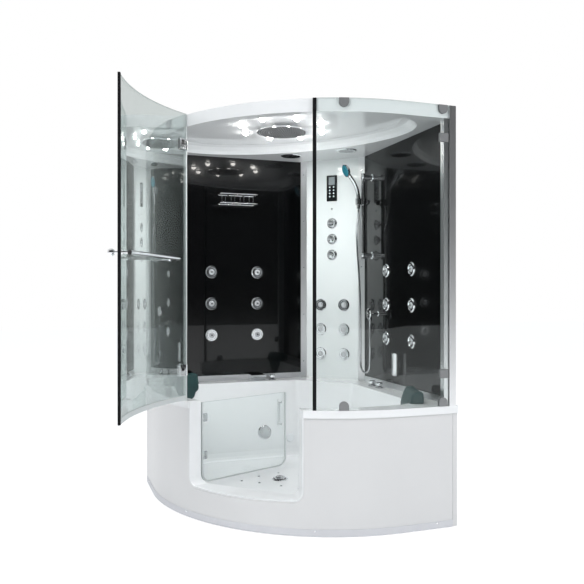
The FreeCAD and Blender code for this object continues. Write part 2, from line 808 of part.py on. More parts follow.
def knob_rosette():
    disc = turned_profile([(0, 0.2), (rosette_radius, 0.2), (rosette_radius, 2.5),
                           (rosette_radius - 6, rosette_thick), (0, rosette_thick)])
    sleeve = Part.makeCylinder(spindle_radius + 5, 14, V(0, 0, -9.5))
    bore = Part.makeCylinder(spindle_radius + running_clear, 60, V(0, 0, -30))
    return disc.fuse(sleeve).cut(bore)


def column_knob():
    """Round knob with a raised grip bar across it, on its spindle."""
    base = turned_profile([(0, rosette_thick + 0.5), (knob_radius + 4, rosette_thick + 0.5),
                           (knob_radius + 4, rosette_thick + 5), (knob_radius, rosette_thick + 9),
                           (knob_radius - 3, knob_length - 6), (0, knob_length - 4)])
    bar = box(-knob_radius + 2, -5, knob_length - 12, knob_radius - 2, 5, knob_length + 4)
    bar = bar.makeFillet(3, [e for e in bar.Edges if abs(e.CenterOfMass.z - knob_length - 4) < 0.1])
    spindle = Part.makeCylinder(spindle_radius, rosette_thick + 34, V(0, 0, -32))
    return joined([base, bar, spindle])


def steam_generator():
    """Boiler box behind the column."""
    back = column_face + 2 + glass_wall + 26
    body = rounded_box(-generator_width / 2, back, generator_top - generator_height,
                       generator_width / 2, back + generator_depth, generator_top, 12)
    return on_diagonal(body)


# ---------------------------------------------------------------- roof

def oval(z, grow, part=1.0):
    """The dome's oval outline, drawn about the diagonal."""
    ellipse = Part.Ellipse(V(0, -dome_back, z), (dome_long + grow) * part, (dome_short + grow) * part)
    return Part.Wire([ellipse.toShape()])


def dome(grow):
    """Shallow oval dome, drawn about the diagonal."""
    low = ceiling_level - 1 if grow == 0 else ceiling_level
    steps = ((0.45, 0.985), (0.85, 0.95), (1.0, 0.90))
    sections = [oval(low, grow)]
    sections += [oval(ceiling_level + dome_height * rise + grow, grow, part) for rise, part in steps]
    return Part.makeLoft(sections, True, True)


def roof_shell():
    """Moulded roof: fascia, ceiling with its oval dome and openings for the grilles."""
    front = front_radius - roof_radius
    tray = quadrant(front, roof_inset, ceiling_level, overall_height)
    tray = tray.cut(quadrant(front + roof_skin, roof_inset + roof_skin, ceiling_level + roof_skin,
                             overall_height + 1))
    tray = tray.fuse(on_diagonal(dome(roof_skin))).cut(on_diagonal(dome(0)))
    for x in (-grille_across, grille_across):
        hole = Part.makeCylinder(grille_radius - 12, 40, V(x, grille_back, ceiling_level - 10))
        tray = tray.cut(on_diagonal(hole))
    arm = Part.makeCylinder(rain_arm_radius + 0.5, 60, V(0, -dome_back, ceiling_level + dome_height - 20))
    return tray.cut(on_diagonal(arm)).removeSplitter()


def rain_shower():
    """Round spray plate in a chrome rim, hung from the dome on a short arm."""
    plate = turned_profile([(0, rain_thick), (rain_radius - 6, rain_thick), (rain_radius, rain_thick - 4),
                            (rain_radius, 0), (rain_radius - 8, 0), (rain_radius - 10, 2), (0, 2)])
    arm = Part.makeCylinder(rain_arm_radius, ceiling_level + dome_height + 12 - rain_level, V(0, 0, rain_thick / 2))
    return on_diagonal(joined([plate, arm]).translated(V(0, -dome_back, rain_level)))


def rain_face():
    """Black face in the rain shower with its rubber nozzles in rings."""
    pieces = [Part.makeCylinder(rain_radius - 10.5, 1.7, V(0, 0, 0.2))]
    for ring in range(1, rain_rings + 1):
        radius = ring * (rain_radius - 20) / rain_rings
        for i in range(ring * 6):
            nozzle = Part.makeCone(1.8, 3.2, 2.5, V(radius, 0, -1.8))
            pieces.append(turned_about(nozzle, V(0, 0, 0), UP, 60 / ring * i))
    return on_diagonal(pieces[0].fuse(pieces[1:]).translated(V(0, -dome_back, rain_level)))


def ceiling_grille(across):
    """Chrome ring with a slotted dark centre, in the ceiling beside the column."""
    ring = turned_profile([(0, -7), (grille_radius - 8, -7), (grille_radius, -3), (grille_radius, -0.3),
                           (0, -0.3)])
    neck = Part.makeCylinder(grille_radius - 14, 14, V(0, 0, -0.3))
    body = ring.fuse(neck)
    body = body.cut(Part.makeCylinder(grille_radius - 17, 30, V(0, 0, -4)))
    for i in range(-3, 4):
        half = sqrt((grille_radius - 20) ** 2 - (i * 14) ** 2)
        body = body.cut(box(-half, i * 14 - 3, -9, half, i * 14 + 3, 0))
    return on_diagonal(body.translated(V(across, grille_back, ceiling_level)))


def fan_impeller():
    """Small extractor fan above the left grille."""
    hub = Part.makeCylinder(12, 18, V(0, 0, 0))
    blades = []
    for i in range(7):
        blade = box(10, -1, 1, grille_radius - 22, 1, 17)
        blade = turned_about(blade, V(10, 0, 9), V(1, 0, 0), 35)
        blades.append(turned_about(blade, V(0, 0, 0), UP, 360 / 7 * i))
    spindle = Part.makeCylinder(2.5, 12, V(0, 0, 17))
    return on_diagonal(joined([hub, spindle] + blades).translated(V(-grille_across, grille_back, ceiling_level + 2)))


def fan_motor():
    """Motor pot and its bridge over the fan."""
    high = ceiling_level + 2 + 22
    pot = Part.makeCylinder(16, 26, V(0, 0, high))
    bridge = box(-grille_radius + 12, -8, high + 20, grille_radius - 12, 8, high + 24)
    feet = [box(side * (grille_radius - 8) - 6, -8, ceiling_level + roof_skin + 0.2,
                side * (grille_radius - 8) + 6, 8, high + 24) for side in (-1, 1)]
    bore = Part.makeCylinder(2.5 + running_clear, 30, V(0, 0, high - 1))
    body = joined([pot, bridge] + feet).cut(bore)
    return on_diagonal(body.translated(V(-grille_across, grille_back, 0)))


def speaker_driver():
    """Round loudspeaker above the right grille."""
    basket = turned_profile([(0, 0), (24, 0), (grille_radius - 18, 6), (grille_radius - 18, 10),
                             (30, 34), (30, 48), (0, 48)])
    return on_diagonal(basket.translated(V(grille_across, grille_back, ceiling_level + 6)))


def led_spots():
    """Small lamps in a ring in the dome."""
    spots = []
    for i in range(spot_count):
        turn = radians(360 / spot_count * i)
        level = ceiling_level + dome_height - spot_thick - 0.2
        place = V(spot_ring * cos(turn), spot_ring * sin(turn) - dome_back, level)
        spots.append(on_diagonal(Part.makeCylinder(spot_radius, spot_thick, place)))
    return spots


# ---------------------------------------------------------------- outer glass and door

def fixed_glass(angle):
    """Curved and straight fixed pane, from the left wall's end to an angle."""
    return front_strip(glass_in, glass_out, angle, wall_back - profile_wall, glass_low, glass_high)


def across(angle_gap):
    """A gap along the glass as an angle around the front's centre."""
    return degrees(angle_gap / glass_mid)


def door_axis():
    return front_point(hinge_angle, glass_mid)


def outer_swing(shape):
    return turned_about(shape, door_axis(), UP, -outer_open)


def door_glass():
    start = hinge_angle + across(hinge_gap / 2)
    pane = curved_panel(glass_in, glass_out, start, door_edge(), glass_low + door_clear + 8, glass_high)
    for angle in (knob_angle(), bar_end_angle):
        pane = pane.cut(rod(4.5, front_point(angle, glass_in - 20, handle_level),
                            front_point(angle, glass_out + 20, handle_level)))
    return outer_swing(pane)


def door_edge():
    """Angle of the door's free edge when it is shut."""
    return latch_angle - across(latch_gap)


def knob_angle():
    return door_edge() - across(knob_from_edge - latch_gap)


def edge_seal(angle, side, reach, z0, z1):
    """U-shaped strip on a pane's upright edge; side is +1 where the pane lies at lower angles."""
    lap = angle - side * across(seal_width)
    ends = sorted((lap, angle + side * across(reach)))
    strip = curved_panel(glass_in - seal_thick, glass_out + seal_thick, ends[0], ends[1], z0, z1)
    room = sorted((lap - side, angle))
    return strip.cut(curved_panel(glass_in, glass_out, room[0], room[1], z0 - 1, z1 + 1))


def magnet_reach():
    """How far each magnetic strip stands out of its pane."""
    return (latch_gap - seal_play) / 2


def below_roof(seal):
    """Trim a strip where it passes in front of the fascia."""
    return seal.cut(quadrant(front_radius - roof_radius - 0.5, 0, ceiling_level - 0.5, overall_height + 1))


def door_seals():
    """Magnetic strip on the latch edge and the drip strip under the door."""
    low = glass_low + door_clear
    latch = below_roof(edge_seal(door_edge(), 1, magnet_reach(), low, glass_high))
    start = hinge_angle + across(hinge_gap / 2 + 1)
    stop = door_edge() - across(seal_width + 1)
    drip = curved_panel(glass_in - 2.5, glass_out + 2.5, start, stop, low, low + drip_height)
    drip = drip.cut(curved_panel(glass_in, glass_out, start - 1, stop + 1, low + 8, low + drip_height + 1))
    return [outer_swing(latch), outer_swing(drip)]


def fixed_seals():
    """Black strip that the door shuts against and the pale strip beside the hinges."""
    latch = below_roof(edge_seal(latch_angle, -1, magnet_reach(), glass_low, glass_high))
    hinge = below_roof(edge_seal(hinge_angle - across(hinge_gap / 2), 1, 4, glass_low, glass_high))
    for z in hinge_levels():
        low = z - leaf_height / 2 - 1
        hinge = hinge.cut(box(-wall_reach, -wall_reach, low, 0, wall_reach, low + leaf_height + 2))
    return [latch, hinge]


def hinge_levels():
    return [glass_low + hinge_level, glass_high - hinge_level]


def leaf(side, z, inner):
    """Plate of a hinge on a pane; side is +1 on the door and -1 on the fixed pane."""
    near = hinge_angle + side * across(hinge_gap / 2 + leaf_start)
    far = hinge_angle + side * across(hinge_gap / 2 + leaf_start + leaf_width)
    ends = sorted((near, far))
    r0 = glass_in - leaf_thick if inner else glass_out
    return curved_panel(r0, r0 + leaf_thick, ends[0], ends[1], z - leaf_height / 2, z + leaf_height / 2)


def barrel(z0, z1, side):
    """A knuckle of the hinge around the pin, tied to its leaf on the outside of the glass."""
    axis = door_axis()
    knuckle = Part.makeCylinder(barrel_radius, z1 - z0, V(axis.x, axis.y, z0))
    reach = hinge_angle + side * across(hinge_gap / 2 + leaf_start + 1)
    ends = sorted((hinge_angle, reach))
    strap = curved_panel(glass_out, glass_mid + barrel_radius, ends[0], ends[1], z0, z1)
    return knuckle.fuse(strap)


def clear_of_glass(shape, side, z):
    """Cut the slot for a pane out of a hinge half."""
    far = hinge_angle + side * across(leaf_width * 2)
    near = hinge_angle + side * across(hinge_gap / 2)
    ends = sorted((near, far))
    return shape.cut(curved_panel(glass_in, glass_out, ends[0], ends[1], z - leaf_height, z + leaf_height))


def hinge_half(side, z):
    """One half of a glass hinge: two plates that clamp the pane and its knuckles."""
    third = leaf_height / 3
    gap = 0.4
    if side > 0:
        spans = [(z - third / 2 + gap, z + third / 2 - gap)]
    else:
        spans = [(z - leaf_height / 2, z - third / 2), (z + third / 2, z + leaf_height / 2)]
    plates = [leaf(side, z, True), leaf(side, z, False)]
    knuckles = [barrel(z0, z1, side) for z0, z1 in spans]
    axis = door_axis()
    half = joined(plates + knuckles)
    if side > 0:
        half = half.cut(Part.makeCylinder(pin_radius + running_clear, 200, V(axis.x, axis.y, z - 100)))
    else:
        half = half.fuse(Part.makeCylinder(pin_radius, leaf_height, V(axis.x, axis.y, z - leaf_height / 2)))
    return clear_of_glass(half, side, z)


def half_round(body, middle, out, free_end, towards):
    """Round off a clamp's free end, seen square to the pane; towards is +1 where that end is the top."""
    reach = clamp_width * 2
    level = free_end - towards * clamp_round
    start = V(middle.x, middle.y, level) - out * reach
    disc = Part.makeCylinder(clamp_round, 2 * reach, start, out)
    side = out.cross(UP)
    room = Part.makeBox(clamp_width * 2, 2 * reach, clamp_width)
    corner = start - side * clamp_width - UP * (clamp_width if towards < 0 else 0)
    room.Placement = FreeCAD.Placement(corner, FreeCAD.Rotation(side, out, UP, "ZXY"))
    return body.cut(room.cut(disc))


def clamp(angle, z0, z1):
    """A clamp over a pane's edge on the curved stretch."""
    half = across(clamp_width / 2)
    body = curved_panel(glass_in - clamp_thick, glass_out + clamp_thick, angle - half, angle + half, z0, z1)
    body = body.cut(curved_panel(glass_in, glass_out, angle - half - 1, angle + half + 1, glass_low, glass_high))
    out = front_point(angle, 1.0) - V(centre, centre, 0)
    towards = 1 if z0 <= glass_low else -1
    return half_round(body, front_point(angle, glass_mid), out, z1 if towards > 0 else z0, towards)


def straight_clamp(y, z0, z1):
    """The same clamp on the straight stretch beside the left wall, square where it meets a profile."""
    side = centre - glass_out
    half = clamp_width / 2
    body = box(side - clamp_thick, y - half, z0, side + outer_glass + clamp_thick, y + half, z1)
    body = body.cut(box(side, wall_back - end_profile_depth, z0 - 1, 0, wall_back, z1 + 1))
    body = body.cut(box(side, y - half - 1, glass_low, side + outer_glass, y + half + 1, glass_high))
    if z0 <= glass_low:
        body = half_round(body, V(side, y, 0), V(-1, 0, 0), z1, 1)
    if z1 >= glass_high:
        body = half_round(body, V(side, y, 0), V(-1, 0, 0), z0, -1)
    return body


def glass_clamps():
    """Chrome clamps that hold the fixed panes to the deck, the roof and the wall profiles."""
    left_angle = 450 - clamp_angle
    high = (glass_high - clamp_height, glass_high)
    low = (glass_low, glass_low + clamp_height)
    pieces = []
    for z0, z1 in (low, high):
        pieces += [clamp(left_angle, z0, z1), straight_clamp(wall_reach - clamp_from_wall, z0, z1)]
    beside = wall_back - end_profile_depth - 4
    for z in hinge_levels():
        pieces.append(straight_clamp(beside, z - clamp_height / 2, z + clamp_height / 2))
    roof_room = quadrant(front_radius - roof_radius, roof_inset, ceiling_level, overall_height + 1)
    pieces = [piece.cut(roof_room) for piece in pieces]
    return pieces + [mirrored(piece) for piece in pieces]


def at_door(shape, angle, radius, inward):
    """Put a piece drawn along +Z on the shut door's glass, looking out or into the cabin."""
    out = front_point(angle, 1.0) - V(centre, centre, 0)
    return facing(shape, front_point(angle, radius, handle_level), out * -1 if inward else out)


def door_handle(pane):
    """Round knob outside and a straight bar inside, bolted together through the glass."""
    knob = turned_profile([(0, 0), (12, 0), (12, 3), (7, 6), (7, 22), (13, 25), (17.5, 33), (17.5, 43),
                           (13, 51), (0, 54)])
    cap = turned_profile([(0, 0), (16, 0), (16, 4), (12, 8), (0, 8)])
    rosette = turned_profile([(0, 0), (handle_rosette, 0), (handle_rosette, 4), (handle_rosette - 3, 8), (0, 8)])
    post = Part.makeCylinder(8, bar_stand_off)
    pieces = [at_door(knob, knob_angle(), glass_out, False), at_door(cap, bar_end_angle, glass_out, False)]
    ends = []
    for angle in (knob_angle(), bar_end_angle):
        pieces.append(at_door(rosette, angle, glass_in, True))
        pieces.append(at_door(post, angle, glass_in, True))
        pieces.append(rod(4, front_point(angle, glass_in - 4, handle_level),
                          front_point(angle, glass_out + 4, handle_level)))
        ends.append(front_point(angle, glass_in - bar_stand_off, handle_level))
    along = (ends[1] - ends[0]).normalize()
    pieces.append(rod(bar_radius, ends[0] - along * 20, ends[1] + along * 20))
    return outer_swing(joined(pieces)).cut(pane)


# ---------------------------------------------------------------- inner door, drawn shut about the diagonal

inner_plane = -door_plane + inner_stand_off            # middle of the glass along the diagonal
inner_half = doorway_inner / 2 + inner_lap
inner_axis = V(-inner_half - inner_hinge_gap, inner_plane, 0)


def inner_swing(shape):
    """Swing a piece of the inner door, drawn shut, into the basin and place it."""
    return on_diagonal(turned_about(shape, inner_axis, UP, inner_open))


def inner_pane(grow, low_grow):
    """Upright pane with two rounded lower corners."""
    z0 = inner_bottom - low_grow
    corners = [V(-inner_half - grow, 0, z0), V(inner_half + grow, 0, z0)]
    corners += [V(inner_half + grow, 0, inner_top), V(-inner_half - grow, 0, inner_top)]
    radii = [inner_corner + grow, inner_corner + grow, 4, 4]
    return Part.Face(rounded_wire(corners, radii))


def inner_door_glass():
    face = inner_pane(0, 0).translated(V(0, inner_plane - inner_glass / 2, 0))
    pane = face.extrude(V(0, inner_glass, 0))
    for z in (grip_level - grip_height / 2 + 12, grip_level + grip_height / 2 - 12):
        pane = pane.cut(rod(3.5, V(grip_place(), inner_plane - 20, z), V(grip_place(), inner_plane + 20, z)))
    return pane


def inner_door_seal():
    """Dark strip around the edge of the pane that seals on the doorway's inner face."""
    back = inner_plane - inner_glass / 2
    depth = inner_stand_off - inner_glass / 2 - 0.6
    outer = inner_pane(0, 0).translated(V(0, back - depth, 0)).extrude(V(0, depth, 0))
    inner = inner_pane(-9, -9).translated(V(0, back - depth - 1, 0)).extrude(V(0, depth + 2, 0))
    inner = inner.fuse(box(-inner_half + 9, back - depth - 1, inner_top - 20, inner_half - 9, back + 1,
                           inner_top + 1))
    return outer.cut(inner)


def inner_hinge_levels():
    return [inner_hinge_low, inner_hinge_top]


def inner_leaf(z):
    """Moving half: a block clamped on the pane with a knuckle on the pin."""
    third = inner_leaf_height / 3
    plate = box(-inner_half + 1, inner_plane + inner_glass / 2, z - inner_leaf_height / 2,
                -inner_half + 46, inner_plane + inner_glass / 2 + 6, z + inner_leaf_height / 2)
    knuckle = Part.makeCylinder(inner_knuckle, third - 0.8, V(inner_axis.x, inner_axis.y, z - third / 2 + 0.4))
    strap = box(inner_axis.x, inner_plane + inner_glass / 2, z - third / 2 + 0.4,
                -inner_half + 6, inner_plane + inner_glass / 2 + 5, z + third / 2 - 0.4)
    body = joined([plate, knuckle, strap])
    room = box(-inner_half - 0.01, inner_plane - inner_glass / 2, 0, inner_half, inner_plane + inner_glass / 2,
               rim_top)
    pin = Part.makeCylinder(3 + running_clear, 100, V(inner_axis.x, inner_axis.y, z - 50))
    return body.cut(room).cut(pin)


def inner_fixed_leaf(z, tub):
    """Fixed half: knuckles and a foot on the bath beside the doorway, with the pin."""
    third = inner_leaf_height / 3
    pieces = [Part.makeCylinder(3, inner_leaf_height, V(inner_axis.x, inner_axis.y, z - inner_leaf_height / 2))]
    for z0, z1 in ((z - inner_leaf_height / 2, z - third / 2), (z + third / 2, z + inner_leaf_height / 2)):
        pieces.append(Part.makeCylinder(inner_knuckle, z1 - z0, V(inner_axis.x, inner_axis.y, z0)))
        pieces.append(box(inner_axis.x - 26, -door_plane - 6, z0, inner_axis.x, inner_axis.y + 4, z1))
    pieces.append(box(inner_axis.x - 40, -door_plane - 6, z - inner_leaf_height / 2, inner_axis.x - 12,
                      inner_axis.y + 4, z + inner_leaf_height / 2))
    body = on_diagonal(joined(pieces)).cut(tub)
    parts = sorted(body.Solids, key=lambda solid: solid.Volume)
    return parts[-1]


def grip_place():
    return inner_half - 22


def inner_door_grip():
    """White bar with two screws near the free edge of the inner door."""
    face = inner_plane + inner_glass / 2
    x = grip_place()
    low = grip_level - grip_height / 2
    high = grip_level + grip_height / 2
    bar = rounded_box(x - 9, face + 24, low, x + 9, face + 36, high, 5)
    posts = [rod(6, V(x, face, z), V(x, face + 26, z)) for z in (low + 12, high - 12)]
    bolts = [rod(3, V(x, face - inner_glass - 3, z), V(x, face + 4, z)) for z in (low + 12, high - 12)]
    heads = [rod(5.5, V(x, face - inner_glass - 3, z), V(x, face - inner_glass, z)) for z in (low + 12, high - 12)]
    return joined([bar] + posts + bolts + heads)


# ---------------------------------------------------------------- riser rail, handset, hose

rail_x = panel_face - rail_stand_off
seat_x = rail_x - seat_from_rail


def riser_rail():
    """Round bar on two wall brackets."""
    bar = Part.makeCylinder(rail_radius, rail_high - rail_low, V(rail_x, rail_along, rail_low))
    pieces = [bar]
    for z in (rail_low + rail_bracket_inset, rail_high - rail_bracket_inset):
        arm = rod(rail_bracket_radius, V(rail_x, rail_along, z), V(panel_face - 8, rail_along, z))
        foot = rod(rail_bracket_radius + 9, V(panel_face - 8, rail_along, z), V(panel_face, rail_along, z))
        cap = Part.makeSphere(rail_bracket_radius + 1, V(rail_x, rail_along, z))
        pieces += [arm, foot, cap]
    return joined(pieces)


def slider():
    """Sleeve on the rail with a ring that holds the handset."""
    low = slider_level - slider_height / 2
    sleeve = Part.makeCylinder(slider_radius, slider_height, V(rail_x, rail_along, low))
    seat = Part.makeCylinder(handle_radius + 7, slider_height, V(seat_x, rail_along, low))
    middle = V(rail_x, rail_along, slider_level)
    boss = rod(9, middle, middle + V(slider_radius + 6, 0, 0))
    body = joined([sleeve, seat, boss])
    body = body.cut(Part.makeCylinder(rail_radius + running_clear, 400, middle - V(0, 0, 200)))
    body = body.cut(rod(3 + running_clear, middle, middle + V(80, 0, 0)))
    return body.cut(Part.makeCylinder(handle_radius, 200, V(seat_x, rail_along, low - 50)))


def slider_knob():
    """Clamp knob on the wall side of the slider."""
    start = V(rail_x + slider_radius + 6.4, rail_along, slider_level)
    grip = facing(turned_profile([(0, 0), (15, 0), (16, 3), (16, 14), (13, 17), (0, 17)]), start, V(1, 0, 0))
    for i in range(8):
        turn = radians(45 * i)
        aside = V(0, 16.6 * cos(turn), 16.6 * sin(turn))
        grip = grip.cut(rod(2.2, start + aside - V(1, 0, 0), start + aside + V(20, 0, 0)))
    screw = rod(3, V(rail_x + rail_radius + 1, rail_along, slider_level), start + V(2, 0, 0))
    return joined([grip, screw])


def head_axis():
    """Direction in which the spray face looks: away from the wall and a little down."""
    return V(-cos(radians(head_lean)), 0, -sin(radians(head_lean)))


handle_low = slider_level - slider_height / 2 - 9      # lower end of the straight grip
handle_straight = slider_level + slider_height / 2 - 7  # where the handle starts to curve
handle_end = V(seat_x - handle_bend * (1 - cos(radians(handle_turn))), rail_along,
               handle_straight + handle_bend * sin(radians(handle_turn)))
neck_axis = V(-sin(radians(handle_turn)), 0, cos(radians(handle_turn)))
head_middle = handle_end + neck_axis * (head_radius + 14)


def handset():
    """Chrome body: curved handle, hose nut and the dome behind the spray face."""
    grip = Part.makeCylinder(handle_radius, handle_straight - handle_low, V(seat_x, rail_along, handle_low))
    ring = Part.Circle(V(seat_x, rail_along, handle_straight), UP, handle_radius)
    curve = Part.Face(Part.Wire([ring.toShape()])).revolve(V(seat_x - handle_bend, rail_along, handle_straight),
                                                           V(0, -1, 0), handle_turn)
    neck = rod(handle_radius, handle_end, head_middle - head_axis() * 9)
    back = turned_profile([(0, 0), (head_radius, 0), (head_radius, 8), (head_radius - 8, 17),
                           (head_radius - 22, head_thick), (0, head_thick + 1)])
    back = facing(back, head_middle, head_axis() * -1)
    nut = Part.makeCylinder(handle_radius - 1, 16, V(seat_x, rail_along, handle_low - 16))
    body = joined([grip, curve, neck, back, nut])
    seat = facing(Part.makeCylinder(head_radius - 3.8, 7, V(0, 0, -3.8)), head_middle, head_axis())
    return body.cut(seat)


def handset_face():
    """Coloured spray disc."""
    disc = turned_profile([(0, -3.8), (head_radius - 4, -3.8), (head_radius - 4, 1), (head_radius - 9, 4),
                           (0, 5)])
    return facing(disc, head_middle, head_axis())


def outlet_elbow():
    """Wall outlet for the hose: an arm from the wall, a round front and a nut for the hose."""
    wall = V(panel_face, outlet_along, outlet_level)
    front = wall - V(outlet_reach, 0, 0)
    foot = rod(17, wall - V(5, 0, 0), wall)
    arm = rod(11, front + V(4, 0, 0), wall)
    disc = facing(turned_profile([(0, 0), (outlet_radius, 0), (outlet_radius, 5), (outlet_radius - 7, 9),
                                  (12, 9), (10, 6), (0, 6)]), front + V(9, 0, 0), V(-1, 0, 0))
    drop = rod(hose_radius + 4, front + V(16, 0, 0), front + V(16, 0, -45))
    return joined([foot, arm, disc, drop])


hose_x = panel_face - outlet_reach + 16
hose_end = V(seat_x, rail_along, handle_low - 16)
hose_points = [
    V(hose_x, outlet_along, outlet_level - 45),
    V(628.5, 145.0, 1005.0),
    V(627.0, 139.0, 905.0),
    V(627.0, 141.5, 815.0),
    V(625.0, 141.0, 757.0),
    V(621.5, 159.7, 730.3),
    V(616.0, 190.0, 720.5),
    V(610.5, 220.3, 730.3),
    V(607.0, 239.0, 757.0),
    V(606.0, 241.0, 815.0),
    V(605.0, 237.0, 920.0),
    V(604.0, 236.0, 1090.0),
    V(601.0, 240.0, 1250.0),
    V(597.0, 252.0, 1410.0),
    V(593.0, 268.0, 1560.0),
    V(589.0, 262.0, 1670.0),
    hose_end - V(0, 0, 52),
    hose_end,
]


def tube_along(points, radius):
    """A tube of straight runs joined by the largest tangent arcs that its runs allow."""
    edges = []
    last = points[0]
    for i in range(1, len(points) - 1):
        before = points[i] - points[i - 1]
        after = points[i + 1] - points[i]
        turn = before.getAngle(after)
        bend = 0.45 * min(before.Length, after.Length) / tan(turn / 2)
        reach = bend * tan(turn / 2)
        start = points[i] - before.normalize() * reach
        end = points[i] + after.normalize() * reach
        inward = (after - before).normalize()
        middle = points[i] + inward * (bend / cos(turn / 2) - bend)
        edges.append(Part.LineSegment(last, start).toShape())
        edges.append(Part.Arc(start, middle, end).toShape())
        print("  bend", i, "radius", round(bend, 1), "turn", round(degrees(turn), 1))
        last = end
    edges.append(Part.LineSegment(last, points[-1]).toShape())
    path = Part.Wire(edges)
    direction = points[1] - points[0]
    circle = Part.Circle(points[0], direction, radius)
    tube_solid = path.makePipeShell([Part.Wire([circle.toShape()])], True, True)
    print("  length", round(path.Length, 1), "volume ratio",
          round(tube_solid.Volume / (3.14159265 * radius ** 2 * path.Length), 4))
    return tube_solid


# ---------------------------------------------------------------- shelf, box and deck fittings

def wire_loop(corners, bend, radius):
    """A closed loop of round wire with square corners, each bent to the same radius."""
    pieces = []
    for i in range(len(corners)):
        corner = corners[i]
        ahead = (corners[(i + 1) % len(corners)] - corner).normalize()
        behind = (corner - corners[i - 1]).normalize()
        disc = Part.Face(Part.Wire([Part.Circle(corner - behind * bend, behind, radius).toShape()]))
        centre = corner - behind * bend + ahead * bend
        pieces.append(disc.revolve(centre, behind.cross(ahead), 90))
        pieces.append(rod(radius, corner + ahead * bend, corners[(i + 1) % len(corners)] - ahead * bend))
    return pieces


def wire_basket():
    """Chrome wire basket on the back wall."""
    x0, x1 = basket_middle - basket_width / 2, basket_middle + basket_width / 2
    y0, y1 = panel_face - basket_depth, panel_face - basket_gap
    top = basket_low + basket_height
    thin = wire_radius * 0.7
    pieces = []
    for z in (basket_low, top):
        corners = [V(x0, y0, z), V(x1, y0, z), V(x1, y1, z), V(x0, y1, z)]
        pieces += wire_loop(corners, basket_corner, wire_radius)
    spacing = (basket_width - 48) / 10
    for i in range(11):
        x = x0 + 24 + spacing * i
        pieces.append(rod(thin, V(x, y0, basket_low), V(x, y1, basket_low)))
    for i in (0.5, 3.5, 6.5, 9.5):
        x = x0 + 24 + spacing * i
        pieces.append(rod(thin, V(x, y0, basket_low), V(x, y0, top)))
        pieces.append(rod(thin, V(x, y1, basket_low), V(x, y1, top)))
    for i in (2.5, 7.5):
        x = x0 + 24 + spacing * i
        pieces.append(rod(basket_boss, V(x, y1 - 4, top), V(x, panel_face, top)))
    return joined(pieces)


def wall_cup():
    """Small chrome cup with a lid on the right wall, held by a block."""
    x = panel_face - cup_radius - 2
    cup = turned_profile([(0, 0), (cup_radius - 7, 0), (cup_radius - 2, 3), (cup_radius, 9),
                          (cup_radius, cup_height), (0, cup_height)])
    lid = turned_profile([(0, cup_height), (cup_lid_radius, cup_height), (cup_lid_radius, cup_height + 14),
                          (cup_lid_radius - 4, cup_height + cup_lid_height), (0, cup_height + cup_lid_height)])
    block = box(0, -8, cup_height * 0.4, cup_radius + 2, 8, cup_height * 0.7)
    place = V(x, cup_along, cup_low)
    return [joined([cup, block]).translated(place), lid.translated(place)]


def waterfall_spout():
    """Flat waterfall spout on the back deck, over the basin's edge."""
    y1 = panel_face - bottom_rail_depth / 2 - 2
    y0 = y1 - spout_reach
    x0 = spout_middle - spout_width / 2
    corners = [V(x0, y1, rim_top), V(x0, y1, rim_top + spout_height),
               V(x0, y0 + 8, rim_top + spout_height), V(x0, y0, rim_top + spout_height - 12),
               V(x0, y0 + 6, rim_top + spout_height - 16), V(x0, y0 + 42, rim_top + spout_height - 18),
               V(x0, y0 + 48, rim_top)]
    edges = [Part.LineSegment(corners[i], corners[(i + 1) % 7]).toShape() for i in range(7)]
    body = Part.Face(Part.Wire(edges)).extrude(V(spout_width, 0, 0))
    slot = box(x0 + 8, y0 - 1, rim_top + spout_height - 13, x0 + spout_width - 8, y0 + 40,
               rim_top + spout_height - 9)
    return body.cut(slot)


def deck_knob_places():
    middle = panel_face - basin_deck / 2 + 4
    return [V(back_knob_along, middle, rim_top), V(middle, side_knob_first, rim_top),
            V(middle, side_knob_first - side_knob_pitch, rim_top)]


def deck_base():
    ring = turned_profile([(0, 0), (deck_knob_base, 0), (deck_knob_base, 3), (deck_knob_base - 5, 6), (0, 6)])
    tail = Part.makeCylinder(deck_tail_radius, 46, V(0, 0, -46))
    return ring.fuse(tail).cut(Part.makeCylinder(spindle_radius + running_clear, 90, V(0, 0, -20)))


def deck_knob():
    """Round knob with a waist on its spindle."""
    body = turned_profile([(0, 6.5), (deck_knob_radius - 3, 6.5), (deck_knob_radius - 5, 14),
                           (deck_knob_radius, 18), (deck_knob_radius, deck_knob_height),
                           (deck_knob_radius - 4, deck_knob_height + 4), (0, deck_knob_height + 4)])
    for i in range(6):
        flute = Part.makeCylinder(3, 30, V(deck_knob_radius + 1.5, 0, 16))
        body = body.cut(turned_about(flute, V(0, 0, 0), UP, 60 * i))
    return body.fuse(Part.makeCylinder(spindle_radius, 24, V(0, 0, -16)))


def headrest(tub):
    """Left headrest: a soft block that hugs the basin's back edge, facing into the bath."""
    outline = [(0, rest_above), (-rest_top, rest_above), (-rest_depth, -10), (-rest_depth + 6, -rest_below),
               (-rest_depth + 6 + rest_tail, -rest_below), (0, -4)]
    corners = [V(-rest_width / 2, y, z) for y, z in outline]
    block = Part.Face(Part.makePolygon(corners + corners[:1])).extrude(V(rest_width, 0, 0))
    block = block.makeFillet(rest_round, block.Edges)
    block.rotate(V(0, 0, 0), UP, rest_turn)
    along = rest_from_end + basin_end_deck - wall_reach
    block = block.translated(V(along, panel_face - basin_deck + rest_lap, rim_top))
    pieces = block.cut(tub).Solids
    return sorted(pieces, key=lambda solid: solid.BoundBox.ZMax)[-1]


def screw_head(place, direction):
    return facing(turned_profile([(0, 0), (5, 0), (4, 2.4), (0, 3)]), place, direction)


